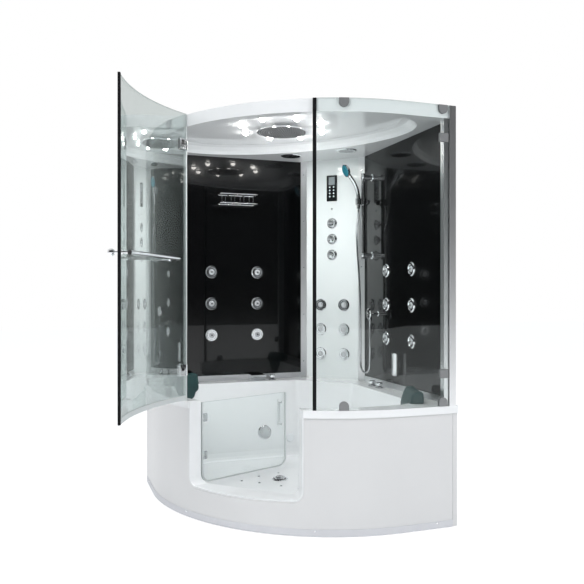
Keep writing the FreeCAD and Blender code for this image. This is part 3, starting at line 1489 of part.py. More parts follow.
def cover_screws():
    """Screw heads on the kick band and on the aluminium profiles."""
    heads = []
    for angle in (206, 245.9):
        out = front_point(angle, 1.0) - V(centre, centre, 0)
        heads.append(screw_head(front_point(angle, apron_radius + kick_proud, kick_clear + kick_height - 8), out))
    side = centre - apron_radius - kick_proud
    end = wall_reach - screw_from_wall
    for place, way in ((V(side, end, kick_clear + kick_height - 8), V(-1, 0, 0)),
                       (V(end, side, kick_clear + kick_height - 8), V(0, -1, 0))):
        heads.append(screw_head(place, way))
    for i in range(5):
        z = rim_top + screw_first + screw_pitch * i
        for x in (-column_width / 2 + column_profile / 2, column_width / 2 - column_profile / 2):
            heads.append(on_diagonal(screw_head(V(x, column_face, z), V(0, -1, 0))))
    return heads


# ---------------------------------------------------------------- build

tub = bath_shell()
save("bath_shell", tub)
post = end_post()
save("apron", apron(), post, mirrored(post))
save("kick_band", kick_band())
save("base_frame", base_frame())
save("levelling_feet", *[levelling_foot(place) for place in frame_corners()])
save("drain_flange", drain_flange())
save("drain_plug", drain_plug())
save("waste_trap", waste_trap())
air_jet = turned_profile([(0, 0.2), (air_jet_radius, 0.2), (air_jet_radius - 2, 3), (0, 3.5)])
air_jets = [air_jet.translated(V(x, y, basin_floor)) for x, y in air_jet_places()]
save("basin_jets", suction_fitting(), *air_jets)
save("underwater_light", underwater_light(tub))

panel = wall_glass()
save("back_wall_glass", panel)
save("right_wall_glass", mirrored(panel))
frame_left = [bottom_rail(), end_profile()]
save("wall_profiles", *frame_left, *[mirrored(profile) for profile in frame_left])
corner_left = column_profile_left()
save("column_profiles", corner_left, mirrored(corner_left))
save("column_panel", column_glass())
save("jet_rings", *spread_jets(jet_ring()))
save("jet_noses", *spread_jets(jet_nose()))
save("water_and_steam_unit", steam_generator(), *water_circuit())
save("control_panel", control_panel())
sensor = turned_profile([(0, 0.2), (7, 0.2), (7, 2), (4, 4), (0, 4)])
save("temperature_sensor", on_diagonal(facing(sensor, on_column(0, sensor_level, -2), V(0, -1, 0))))
knob_levels = [knob_level + knob_pitch * i for i in (1, 0, -1)]
rosette = knob_rosette()
knob = column_knob()
rosettes = [on_diagonal(facing(rosette, on_column(0, z, -2), V(0, -1, 0))) for z in knob_levels]
rosettes += [deck_base().translated(place) for place in deck_knob_places()]
save("knob_rosettes", *rosettes)
for name, z in zip(("upper", "middle", "lower"), knob_levels):
    save("column_knob_" + name, on_diagonal(facing(knob, on_column(0, z, -2), V(0, -1, 0))))

save("roof_shell", roof_shell())
save("rain_shower", rain_shower())
save("rain_face", rain_face())
save("led_spots", *led_spots())
save("ceiling_grilles", ceiling_grille(-grille_across), ceiling_grille(grille_across))
save("fan_impeller", fan_impeller())
save("ceiling_units", fan_motor(), speaker_driver())

save("fixed_glass_left", fixed_glass(hinge_angle - across(hinge_gap / 2)))
save("fixed_glass_right", mirrored(fixed_glass(450 - latch_angle)))
save("fixed_glass_seals", *fixed_seals())
save("glass_clamps", *glass_clamps())
pane = door_glass()
save("outer_door_glass", pane)
save("outer_door_seals", *door_seals())
save("outer_door_hinges", *[outer_swing(hinge_half(1, z)) for z in hinge_levels()])
save("door_handle", door_handle(pane))

save("inner_door_glass", inner_swing(inner_door_glass()))
save("inner_door_seal", inner_swing(inner_door_seal()))
save("inner_door_hinges", *[inner_swing(inner_leaf(z)) for z in inner_hinge_levels()])
save("inner_door_grip", inner_swing(inner_door_grip()))
fixed_halves = [hinge_half(-1, z) for z in hinge_levels()]
fixed_halves += [inner_fixed_leaf(z, tub) for z in inner_hinge_levels()]
save("hinge_fixed_halves", *fixed_halves)

save("riser_rail", riser_rail())
save("slider", slider())
save("slider_knob", slider_knob())
save("handset_body", handset())
save("handset_face", handset_face())
save("outlet_elbow", outlet_elbow())
save("shower_hose", tube_along(hose_points, hose_radius))

save("wire_basket", wire_basket())
save("wall_cup", *wall_cup())
save("waterfall_spout", waterfall_spout())
for name, place in zip(("back", "side_left", "side_right"), deck_knob_places()):
    save("deck_knob_" + name, deck_knob().translated(place))
rest = headrest(tub)
save("headrest_left", rest)
save("headrest_right", mirrored(rest))
save("cover_screws", *cover_screws())
print(len(os.listdir("parts")), "files")
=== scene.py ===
# %% Load the cabin's fixed frame
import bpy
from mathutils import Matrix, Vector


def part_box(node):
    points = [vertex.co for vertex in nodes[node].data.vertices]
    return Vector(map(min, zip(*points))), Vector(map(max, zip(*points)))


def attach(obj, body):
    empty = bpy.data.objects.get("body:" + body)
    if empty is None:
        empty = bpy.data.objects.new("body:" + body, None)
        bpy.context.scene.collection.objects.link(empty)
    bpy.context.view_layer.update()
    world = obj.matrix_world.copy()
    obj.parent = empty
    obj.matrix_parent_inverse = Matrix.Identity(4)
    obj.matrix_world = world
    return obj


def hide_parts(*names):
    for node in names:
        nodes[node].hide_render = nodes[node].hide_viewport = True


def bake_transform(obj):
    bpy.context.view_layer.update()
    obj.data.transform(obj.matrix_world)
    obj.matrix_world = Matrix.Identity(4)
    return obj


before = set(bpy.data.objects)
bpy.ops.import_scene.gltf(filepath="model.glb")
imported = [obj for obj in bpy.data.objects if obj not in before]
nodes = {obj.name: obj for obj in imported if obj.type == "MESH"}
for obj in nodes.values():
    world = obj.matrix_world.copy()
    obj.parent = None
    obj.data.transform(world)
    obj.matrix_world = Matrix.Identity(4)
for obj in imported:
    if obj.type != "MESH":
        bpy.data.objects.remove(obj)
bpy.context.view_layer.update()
print("the cabin comes with", len(nodes), "rigid pieces")

# %% [markdown]
# The steam cabin is a walk-in bath with glass round it. Its rigid pieces arrive ready made,
# in metres, and stay where they are. This lesson gives each of them a finish, and models the
# soft and fine things that solids are poor at: headrests, the hose, spray nozzles, light dots.
# One place holds the few tools that every later cell uses.

# %% Tools used all through the lesson
import math
import bmesh
import bpy
from mathutils import Matrix, Vector

INWARD = Vector((-1, -1, 0)).normalized()     # out of the column, into the cabin


def deselect():
    bpy.ops.object.select_all(action="DESELECT")


def pick(piece, wanted):
    """Opens edit mode with only the wanted faces selected."""
    bpy.ops.object.mode_set(mode="EDIT")
    bpy.ops.mesh.select_mode(type="FACE")
    bpy.ops.mesh.select_all(action="DESELECT")
    bpy.ops.object.mode_set(mode="OBJECT")
    for face in piece.data.polygons:
        face.select = bool(wanted(face))
    bpy.ops.object.mode_set(mode="EDIT")


def close_edit():
    bpy.ops.object.mode_set(mode="OBJECT")


def put(piece, place, out):
    """Turns a piece drawn along +Z to look along out, and moves it there inside its own mesh."""
    turn = Vector(out).to_track_quat("Z", "Y").to_matrix().to_4x4()
    piece.data.transform(Matrix.Translation(place) @ turn)
    piece.matrix_world = Matrix.Identity(4)


def copy_of(piece):
    """A copy with its own mesh."""
    twin = piece.copy()
    twin.data = piece.data.copy()
    bpy.context.scene.collection.objects.link(twin)
    return twin


def as_one(pieces):
    """Joins pieces into the first of them."""
    deselect()
    for piece in pieces:
        piece.select_set(True)
    bpy.context.view_layer.objects.active = pieces[0]
    bpy.ops.object.join()
    return pieces[0]


def middles(node):
    """The middle of each separate solid in a node, from the box round its linked faces."""
    work = bmesh.new()
    work.from_mesh(nodes[node].data)
    bmesh.ops.remove_doubles(work, verts=work.verts, dist=1e-5)
    seen, found = set(), []
    for first in work.verts:
        if first in seen:
            continue
        island, ahead = [], [first]
        seen.add(first)
        while ahead:
            here = ahead.pop()
            island.append(here.co.copy())
            for edge in here.link_edges:
                there = edge.other_vert(here)
                if there not in seen:
                    seen.add(there)
                    ahead.append(there)
        low = Vector(min(co[k] for co in island) for k in range(3))
        high = Vector(max(co[k] for co in island) for k in range(3))
        found.append((low + high) / 2)
    work.free()
    return found


def hang(piece, name, body, finish):
    """Names a finished piece, dresses it and lets it ride on its body."""
    piece.name = name
    piece.data.materials.clear()
    piece.data.materials.append(finish)
    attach(piece, body)
    print(name, "rides on", body, "with", len(piece.data.polygons), "faces")


# %% [markdown]
# The photographer stood to the left of the door, with the lens level at chest height and about
# four metres away. A level camera keeps the walls and the glass edges upright in the picture.

# %% Camera
bpy.ops.object.camera_add(location=(-1.3083, -3.8672, 1.2459),
                          rotation=(math.radians(90), 0, math.radians(-19.296)))
camera = bpy.context.object
camera.data.sensor_width = 36
camera.data.lens = 42.32
camera.data.clip_start = 0.05
bpy.context.scene.camera = camera
bpy.context.scene.view_settings.view_transform = "Standard"
print("camera lens", round(camera.data.lens, 2), "mm")

# %% [markdown]
# A product studio is a white room with large soft lamps, and a dark side where the camera stands.
# The world here is white to the camera and through glass, white with that dark side to mirrors,
# and dimmer as a lamp. The dark side is what keeps black glass black and gives chrome its lines.

# %% White room
lamp_share = 0.52                             # the world's strength as a lamp
toward_camera = (-0.2, -0.98, 0.0)
darkest = 0.06                                # what mirrors see of the camera's side
world = bpy.data.worlds.new("studio")
bpy.context.scene.world = world
world.use_nodes = True
air = world.node_tree
air.nodes.clear()
seen = air.nodes.new("ShaderNodeBackground")
seen.inputs["Color"].default_value = (1, 1, 1, 1)
seen.inputs["Strength"].default_value = 1.0
felt = air.nodes.new("ShaderNodeBackground")
felt.inputs["Color"].default_value = (0.94, 0.97, 1.0, 1)
felt.inputs["Strength"].default_value = lamp_share
heading = air.nodes.new("ShaderNodeTexCoord")
toward = air.nodes.new("ShaderNodeVectorMath")
toward.operation = "DOT_PRODUCT"
toward.inputs[1].default_value = toward_camera
air.links.new(heading.outputs["Generated"], toward.inputs[0])
dark_side = air.nodes.new("ShaderNodeMapRange")
dark_side.interpolation_type = "SMOOTHSTEP"
dark_side.inputs["From Min"].default_value = 0.1
dark_side.inputs["From Max"].default_value = 0.6
dark_side.inputs["To Min"].default_value = 1.0
dark_side.inputs["To Max"].default_value = darkest
air.links.new(toward.outputs["Value"], dark_side.inputs["Value"])
mirrored = air.nodes.new("ShaderNodeBackground")
air.links.new(dark_side.outputs["Result"], mirrored.inputs["Strength"])
ray = air.nodes.new("ShaderNodeLightPath")
first = air.nodes.new("ShaderNodeMath")
first.operation = "MAXIMUM"
air.links.new(ray.outputs["Is Camera Ray"], first.inputs[0])
air.links.new(ray.outputs["Is Transmission Ray"], first.inputs[1])
choose = air.nodes.new("ShaderNodeMixShader")
air.links.new(first.outputs[0], choose.inputs["Fac"])
air.links.new(felt.outputs[0], choose.inputs[1])
air.links.new(seen.outputs[0], choose.inputs[2])
last = air.nodes.new("ShaderNodeMixShader")
air.links.new(ray.outputs["Is Glossy Ray"], last.inputs["Fac"])
air.links.new(choose.outputs[0], last.inputs[1])
air.links.new(mirrored.outputs[0], last.inputs[2])
sky = air.nodes.new("ShaderNodeOutputWorld")
air.links.new(last.outputs[0], sky.inputs["Surface"])
print("the world is white to the lens and", lamp_share, "as a lamp")

# %% Pale floor
bpy.ops.mesh.primitive_plane_add(size=40, location=(0, 0, 0))
floor = bpy.context.object
floor.name = "studio_floor"
paint = bpy.data.materials.new("studio floor paint")
paint.use_nodes = True
tree = paint.node_tree
tree.nodes.clear()
matt = tree.nodes.new("ShaderNodeBsdfDiffuse")
matt.inputs["Color"].default_value = (0.9, 0.9, 0.91, 1)
glow = tree.nodes.new("ShaderNodeEmission")
glow.inputs["Color"].default_value = (1, 1, 1, 1)
glow.inputs["Strength"].default_value = 0.55
ray = tree.nodes.new("ShaderNodeLightPath")
first = tree.nodes.new("ShaderNodeMath")
first.operation = "MAXIMUM"
second = tree.nodes.new("ShaderNodeMath")
second.operation = "MAXIMUM"
tree.links.new(ray.outputs["Is Camera Ray"], first.inputs[0])
tree.links.new(ray.outputs["Is Glossy Ray"], first.inputs[1])
tree.links.new(first.outputs[0], second.inputs[0])
tree.links.new(ray.outputs["Is Transmission Ray"], second.inputs[1])
lit = tree.nodes.new("ShaderNodeMixShader")
dark = tree.nodes.new("ShaderNodeEmission")
dark.inputs["Strength"].default_value = 0.0
tree.links.new(second.outputs[0], lit.inputs["Fac"])
tree.links.new(dark.outputs[0], lit.inputs[1])
tree.links.new(glow.outputs[0], lit.inputs[2])
both = tree.nodes.new("ShaderNodeAddShader")
tree.links.new(matt.outputs[0], both.inputs[0])
tree.links.new(lit.outputs[0], both.inputs[1])
ends = tree.nodes.new("ShaderNodeOutputMaterial")
tree.links.new(both.outputs[0], ends.inputs["Surface"])
floor.data.materials.append(paint)
print("floor laid at height", floor.location.z)


# %% Soft lamps
def soft_lamp(name, place, target, width, watts):
    """A square lamp that faces the target. Mirrors don't show it, or it would veil the panes."""
    bpy.ops.object.light_add(type="AREA", location=place)
    lamp = bpy.context.object
    lamp.name = name
    lamp.data.shape = "SQUARE"
    lamp.data.size = width
    lamp.data.energy = watts
    away = Vector(target) - Vector(place)
    lamp.rotation_euler = away.to_track_quat("-Z", "Y").to_euler()
    lamp.visible_glossy = False
    print(name, watts, "W")
    return lamp


soft_lamp("lamp_left", (-3.2, -3.0, 3.6), (0, 0, 1.0), 2.6, 85)
soft_lamp("lamp_right", (2.6, -3.8, 2.6), (0.1, 0, 0.9), 2.4, 50)
soft_lamp("lamp_top", (0.2, 0.2, 4.6), (0, 0, 1.0), 3.0, 40)

# %% [markdown]
# The cabin is a box with a roof, so studio light hardly gets in. The real one is lit by its own
# ceiling spots. Two hidden lamps do the same here: one under the dome shines down into the bath,
# one at waist height shines up and gives the dome its glow. Neither shows itself or in mirrors.

# %% Light inside the cabin
for name, place, target, width, watts in (
        ("lamp_inside_down", (-0.05, -0.05, 2.13), (0, 0, 0.4), 0.5, 10.5),
        ("lamp_inside_up", (-0.1, -0.1, 1.25), (0, 0, 2.2), 0.5, 2.2)):
    inner = soft_lamp(name, place, target, width, watts)
    inner.visible_camera = False
    inner.visible_transmission = False

# %% [markdown]
# Finishes are built from nodes. Nearly every real surface has two scales of detail: a slow drift
# of colour or gloss that the eye reads as wear and water marks, and a fine relief that breaks up
# reflections. The helpers below add one or the other, measured in metres on the object itself.


# %% Helpers for finishes
def start_finish(name):
    """A new finish with its shader and the node that says where a point is on the cabin."""
    finish = bpy.data.materials.new(name)
    finish.use_nodes = True
    tree = finish.node_tree
    shader = tree.nodes["Principled BSDF"]
    place = tree.nodes.new("ShaderNodeTexCoord")
    return finish, tree, shader, place


def drift(tree, place, patch, stretch=(1, 1, 1), detail=3.0, turn=0.0):
    """Soft noise whose patches are about so many metres wide."""
    mapping = tree.nodes.new("ShaderNodeMapping")
    mapping.inputs["Scale"].default_value = [s / patch for s in stretch]
    mapping.inputs["Rotation"].default_value = (0, 0, turn)
    noise = tree.nodes.new("ShaderNodeTexNoise")
    noise.inputs["Detail"].default_value = detail
    tree.links.new(place.outputs["Object"], mapping.inputs["Vector"])
    tree.links.new(mapping.outputs["Vector"], noise.inputs["Vector"])
    return noise.outputs["Fac"]


def colour_between(tree, shader, amount, low, high):
    blend = tree.nodes.new("ShaderNodeMix")
    blend.data_type = "RGBA"
    blend.inputs["A"].default_value = (*low, 1)
    blend.inputs["B"].default_value = (*high, 1)
    tree.links.new(amount, blend.inputs["Factor"])
    tree.links.new(blend.outputs["Result"], shader.inputs["Base Color"])


def gloss_between(tree, shader, amount, low, high):
    span = tree.nodes.new("ShaderNodeMapRange")
    span.inputs["From Min"].default_value = 0.3
    span.inputs["From Max"].default_value = 0.7
    span.inputs["To Min"].default_value = low
    span.inputs["To Max"].default_value = high
    tree.links.new(amount, span.inputs["Value"])
    tree.links.new(span.outputs["Result"], shader.inputs["Roughness"])


def relief(tree, shader, height, depth, strength=1.0):
    bump = tree.nodes.new("ShaderNodeBump")
    bump.inputs["Distance"].default_value = depth
    bump.inputs["Strength"].default_value = strength
    tree.links.new(height, bump.inputs["Height"])
    tree.links.new(bump.outputs["Normal"], shader.inputs["Normal"])


# %% [markdown]
# The bath and the roof are vacuum-formed acrylic: a white sheet with a deep gloss. A clear coat
# over a slightly softer base gives that depth, and a faint orange-peel relief keeps large smooth
# areas from looking like computer plastic. The apron is smooth and even, and a touch greyer.


# %% Moulded plastics
def moulded(name, low, high, gloss, coat, peel, patch=0.25):
    finish, tree, shader, place = start_finish(name)
    colour_between(tree, shader, drift(tree, place, patch), low, high)
    gloss_between(tree, shader, drift(tree, place, patch / 6, detail=5), *gloss)
    if peel:
        relief(tree, shader, drift(tree, place, 0.006, detail=2), peel, 0.35)
    shader.inputs["Coat Weight"].default_value = coat
    shader.inputs["Coat Roughness"].default_value = 0.04
    return finish


acrylic = moulded("white acrylic", (0.86, 0.88, 0.89), (0.9, 0.915, 0.925), (0.16, 0.24), 0.5,
                  0.00001)
apron_sheet = moulded("apron acrylic", (0.71, 0.714, 0.718), (0.75, 0.754, 0.756), (0.28, 0.34),
                      0.0, 0, 1.2)
kick_plastic = moulded("kick band plastic", (0.66, 0.67, 0.7), (0.72, 0.73, 0.76), (0.38, 0.5),
                       0.0, 0.0001)
grip_plastic = moulded("grip plastic", (0.82, 0.83, 0.84), (0.88, 0.89, 0.9), (0.22, 0.32), 0.2,
                       0.00005, 0.05)
waste_plastic = moulded("waste pipe plastic", (0.09, 0.095, 0.105), (0.13, 0.135, 0.145),
                        (0.4, 0.55), 0.0, 0.0001, 0.05)
unit_paint = moulded("casing paint", (0.55, 0.56, 0.58), (0.62, 0.63, 0.65), (0.35, 0.5), 0.0,
                     0.00015, 0.08)
jet_plastic = moulded("jet nose plastic", (0.5, 0.52, 0.54), (0.62, 0.64, 0.66), (0.18, 0.3), 0.3,
                      0.00004, 0.03)
black_plastic = moulded("black plastic", (0.012, 0.012, 0.013), (0.03, 0.03, 0.032), (0.28, 0.42),
                        0.1, 0.00006, 0.04)
print("moulded finishes ready")

# %% [markdown]
# Metal fittings are polished chrome. Real chrome is never one even mirror: water dries on it in
# faint spots, which only change the roughness. Anodised profiles are drawn through a die, so
# their fine lines run along their length; here the noise is stretched along Z to match.


# %% Metals
def metal(name, low, high, gloss, patch, stretch, depth):
    finish, tree, shader, place = start_finish(name)
    shader.inputs["Metallic"].default_value = 1.0
    colour_between(tree, shader, drift(tree, place, patch, stretch), low, high)
    gloss_between(tree, shader, drift(tree, place, patch / 3, stretch, 5), *gloss)
    relief(tree, shader, drift(tree, place, patch / 8, stretch, 2), depth, 0.3)
    return finish


chrome = metal("polished chrome", (0.8, 0.81, 0.83), (0.88, 0.89, 0.9), (0.03, 0.1), 0.03,
               (1, 1, 1), 0.00001)
satin_chrome = metal("satin chrome", (0.42, 0.43, 0.44), (0.5, 0.51, 0.52), (0.18, 0.28), 0.03,
                     (1, 1, 1), 0.00001)
clamp_metal = metal("brushed clamp metal", (0.2, 0.205, 0.21), (0.28, 0.285, 0.29), (0.28, 0.4),
                    0.02, (1, 1, 0.2), 0.00001)
clamp_metal.node_tree.nodes["Principled BSDF"].inputs["Metallic"].default_value = 0.25
drawn_aluminium = metal("drawn aluminium", (0.78, 0.79, 0.8), (0.86, 0.87, 0.88), (0.28, 0.4),
                        0.01, (1, 1, 0.03), 0.000005)
hose_metal = metal("spiral hose metal", (0.62, 0.63, 0.65), (0.76, 0.77, 0.79), (0.14, 0.28),
                   0.004, (1, 1, 1), 0.00004)
print("metals ready")


# %% Galvanised tube
def galvanised():
    """Hot-dip zinc shows spangle: crystals of slightly different grey."""
    finish, tree, shader, place = start_finish("galvanised tube")
    shader.inputs["Metallic"].default_value = 0.9
    crystals = tree.nodes.new("ShaderNodeTexVoronoi")
    crystals.inputs["Scale"].default_value = 70
    tree.links.new(place.outputs["Object"], crystals.inputs["Vector"])
    grey = tree.nodes.new("ShaderNodeSeparateColor")
    tree.links.new(crystals.outputs["Color"], grey.inputs["Color"])
    colour_between(tree, shader, grey.outputs["Red"], (0.4, 0.41, 0.43), (0.62, 0.63, 0.64))
    gloss_between(tree, shader, drift(tree, place, 0.03), 0.35, 0.5)
    return finish


zinc = galvanised()
print("zinc ready")

# %% [markdown]
# The walls are toughened glass painted black on the back. The colour is behind the glass, so the
# base is nearly black and the mirror image comes from the clear face. Its specular level is kept
# low because the white room would otherwise veil the black. A clear coat gives the sharp image,
# and the softer base under it the glow round each lamp's reflection. Rollers in the furnace leave
# a very shallow wave, which makes long reflections swim a little.


# %% Painted glass
def painted_glass(name, low, high, shine, gloss, wave):
    finish, tree, shader, place = start_finish(name)
    colour_between(tree, shader, drift(tree, place, 0.5), low, high)
    gloss_between(tree, shader, drift(tree, place, 0.12, detail=5), *gloss)
    relief(tree, shader, drift(tree, place, 0.35, (1, 1, 0.3), 1), wave, 0.25)
    shader.inputs["Specular IOR Level"].default_value = shine
    return finish


black_glass = painted_glass("black painted glass", (0.001, 0.0012, 0.0014),
                            (0.002, 0.0022, 0.0025), 0.22, (0.1, 0.16), 0.0004)
under_face = black_glass.node_tree.nodes["Principled BSDF"]
under_face.inputs["Coat Weight"].default_value = 0.5
under_face.inputs["Coat Roughness"].default_value = 0.006
white_glass = painted_glass("white painted glass", (0.76, 0.8, 0.8), (0.82, 0.85, 0.85), 0.5,
                            (0.02, 0.07), 0.0005)
panel_glass = painted_glass("panel touch glass", (0.008, 0.01, 0.012), (0.014, 0.016, 0.018), 0.5,
                            (0.02, 0.08), 0.0001)
print("painted glass ready")

# %% [markdown]
# Clear panes could be solid refracting glass, but six millimetres bends a view very little, and
# lamps hardly get through it in a render. A thin-film mix is calmer: a see-through shader with
# the glass's faint green, and a mirror on top. The mirror's share grows as the pane turns edge
# on, by the facing value raised to a power. A Fresnel node isn't used: on a pane's inner face it
# works out the light as if it came from inside the glass, and the pane goes dark. The outer door
# has a mix of its own, because in the photo it is much darker than the fixed panes, probably as it
# stands slanted to the lens and mirrors the dark cabin. Its share grows sooner, and its grey tint
# was set by comparing renders with the photo: the real glass may well be clear.


# %% Clear glass
def clear_pane(name, tint, square_on, power):
    finish = bpy.data.materials.new(name)
    finish.use_nodes = True
    tree = finish.node_tree
    tree.nodes.clear()
    place = tree.nodes.new("ShaderNodeTexCoord")
    through = tree.nodes.new("ShaderNodeBsdfTransparent")
    through.inputs["Color"].default_value = (*tint, 1)
    mirror = tree.nodes.new("ShaderNodeBsdfGlossy")
    mirror.inputs["Color"].default_value = (0.86, 0.9, 0.89, 1)
    gloss_between(tree, mirror, drift(tree, place, 0.09, detail=6), 0.0, 0.02)
    slant = tree.nodes.new("ShaderNodeLayerWeight")
    slant.inputs["Blend"].default_value = 0.5
    steep = tree.nodes.new("ShaderNodeMath")
    steep.operation = "POWER"
    steep.inputs[1].default_value = power
    share = tree.nodes.new("ShaderNodeMapRange")
    share.inputs["To Min"].default_value = square_on
    share.inputs["To Max"].default_value = 0.85
    tree.links.new(slant.outputs["Facing"], steep.inputs[0])
    tree.links.new(steep.outputs[0], share.inputs["Value"])
    mix = tree.nodes.new("ShaderNodeMixShader")
    tree.links.new(share.outputs["Result"], mix.inputs["Fac"])
    tree.links.new(through.outputs[0], mix.inputs[1])
    tree.links.new(mirror.outputs[0], mix.inputs[2])
    out = tree.nodes.new("ShaderNodeOutputMaterial")
    tree.links.new(mix.outputs[0], out.inputs["Surface"])
    return finish


pane_glass = clear_pane("clear pane", (0.975, 0.988, 0.984), 0.022, 4.0)
door_pane = clear_pane("door pane", (0.8, 0.83, 0.825), 0.022, 1.2)
print("clear glass ready")

# %% Cut edge of the glass
edge_glass, tree, shader, place = start_finish("cut glass edge")
colour_between(tree, shader, drift(tree, place, 0.02), (0.18, 0.3, 0.27), (0.3, 0.43, 0.4))
gloss_between(tree, shader, drift(tree, place, 0.01), 0.1, 0.3)
print("glass edge ready")

# %% [markdown]
# Rubber and soft foam are matt. The seals are black magnetic strip, the feet rubber. The
# headrests have a moulded foam skin in dark teal: a fine grain of small closed cells, which a
# Voronoi relief gives at about a millimetre.


# %% Rubber and foam skin
def rubber(name, low, high, gloss, grain, depth):
    finish, tree, shader, place = start_finish(name)
    colour_between(tree, shader, drift(tree, place, 0.05), low, high)
    gloss_between(tree, shader, drift(tree, place, 0.02), *gloss)
    cells = tree.nodes.new("ShaderNodeTexVoronoi")
    cells.inputs["Scale"].default_value = 1 / grain
    tree.links.new(place.outputs["Object"], cells.inputs["Vector"])
    relief(tree, shader, cells.outputs["Distance"], depth, 0.5)
    return finish


seal_rubber = rubber("magnetic strip rubber", (0.004, 0.004, 0.005), (0.01, 0.01, 0.011),
                     (0.55, 0.7), 0.002, 0.00005)
seal_rubber.node_tree.nodes["Principled BSDF"].inputs["Specular IOR Level"].default_value = 0.15
clear_vinyl = rubber("clear vinyl strip", (0.6, 0.64, 0.64), (0.68, 0.71, 0.71), (0.3, 0.4),
                     0.003, 0.00005)
foot_rubber = rubber("foot rubber", (0.02, 0.02, 0.02), (0.04, 0.04, 0.04), (0.6, 0.75), 0.002,
                     0.0002)
foam_skin = rubber("headrest foam skin", (0.012, 0.04, 0.042), (0.022, 0.058, 0.058),
                   (0.42, 0.55), 0.0016, 0.0003)
# This near-black finish is real rubber on the spray faces, the rain nozzles and the hinge inserts,
# and painted shade where it fills the jet outlets and the drain's gap and groove.
black_rubber_and_shade = rubber("spray face rubber and painted shade", (0.008, 0.008, 0.009), (0.018, 0.018, 0.02),
                      (0.35, 0.5), 0.0015, 0.0001)
print("rubbers ready")

# %% Teal spray disc and lamp lenses
teal_disc = moulded("teal spray disc", (0.012, 0.13, 0.18), (0.03, 0.22, 0.29), (0.15, 0.25), 0.4,
                    0.00003, 0.02)
lens, tree, shader, place = start_finish("lamp lens")
colour_between(tree, shader, drift(tree, place, 0.004), (0.95, 0.95, 0.9), (1.0, 1.0, 0.97))
shader.inputs["Emission Color"].default_value = (1.0, 0.97, 0.92, 1)
shader.inputs["Emission Strength"].default_value = 26
spray_plate = moulded("spray plate", (0.8, 0.81, 0.82), (0.88, 0.89, 0.9), (0.12, 0.2), 0.6,
                      0.00001, 0.02)
water_lens = moulded("underwater lens", (0.8, 0.84, 0.86), (0.9, 0.93, 0.94), (0.08, 0.2), 0.6,
                     0.00003, 0.01)
print("lenses ready")

# %% [markdown]
# Every rigid piece now gets its finish. The table reads like a parts list: which piece, which
# finish. The panes get a second finish for their cut edges, picked by the way each face looks.

# %% Dress the rigid pieces
dress = {
    "bath_shell": acrylic, "roof_shell": acrylic, "apron": apron_sheet, "kick_band": kick_plastic,
    "base_frame": zinc, "levelling_feet": foot_rubber, "drain_flange": chrome, "drain_plug": chrome,
    "waste_trap": waste_plastic, "basin_jets": chrome, "underwater_light": water_lens,
    "back_wall_glass": black_glass, "right_wall_glass": black_glass,
    "wall_profiles": drawn_aluminium, "column_profiles": drawn_aluminium,
    "column_panel": white_glass, "jet_rings": chrome, "jet_noses": jet_plastic,
    "water_and_steam_unit": unit_paint, "control_panel": panel_glass, "temperature_sensor": chrome,
    "knob_rosettes": satin_chrome, "column_knob_upper": chrome, "column_knob_middle": chrome,
    "column_knob_lower": chrome, "rain_shower": chrome, "rain_face": black_rubber_and_shade,
    "led_spots": lens, "ceiling_grilles": chrome, "fan_impeller": black_plastic,
    "ceiling_units": black_plastic, "fixed_glass_left": pane_glass, "fixed_glass_right": pane_glass,
    "fixed_glass_seals": seal_rubber, "glass_clamps": clamp_metal, "outer_door_glass": door_pane,
    "outer_door_seals": seal_rubber, "outer_door_hinges": chrome, "door_handle": chrome,
    "inner_door_glass": pane_glass, "inner_door_seal": clear_vinyl, "inner_door_hinges": chrome,
    "inner_door_grip": grip_plastic, "hinge_fixed_halves": chrome, "riser_rail": chrome,
    "slider": chrome, "slider_knob": black_plastic, "handset_body": chrome,
    "handset_face": teal_disc, "outlet_elbow": chrome, "wire_basket": chrome, "wall_cup": chrome,
    "waterfall_spout": chrome,
    "deck_knob_back": chrome, "deck_knob_side_left": chrome, "deck_knob_side_right": chrome,
    "cover_screws": chrome, "shower_hose": hose_metal, "headrest_left": foam_skin,
    "headrest_right": foam_skin,
}
for name, finish in dress.items():
    nodes[name].data.materials.clear()
    nodes[name].data.materials.append(finish)
print(len(dress), "pieces dressed,", sorted(set(nodes) - set(dress)), "left over")

# %% Cut edges of the panes, and the seals that are clear
def second_finish(name, finish, wanted):
    """Gives a node a second finish on the wanted faces."""
    piece = nodes[name]
    piece.data.materials.append(finish)
    chosen = [face for face in piece.data.polygons if wanted(face)]
    for face in chosen:
        face.material_index = 1
    print(name, len(chosen), "faces with the second finish")


for name in ("outer_door_glass", "fixed_glass_left", "fixed_glass_right"):
    second_finish(name, edge_glass, lambda face: abs(face.normal.z) > 0.5)
widest = max(nodes["inner_door_glass"].data.polygons, key=lambda face: face.area).normal.copy()
second_finish("inner_door_glass", edge_glass, lambda face: abs(face.normal.dot(widest)) < 0.5)
strip_top, free_edge, hinge_side = 0.676, -1.014, -0.5
second_finish("outer_door_seals", clear_vinyl,
              lambda face: face.center.z < strip_top and face.center.x > free_edge)
second_finish("fixed_glass_seals", clear_vinyl, lambda face: face.center.x < hinge_side)
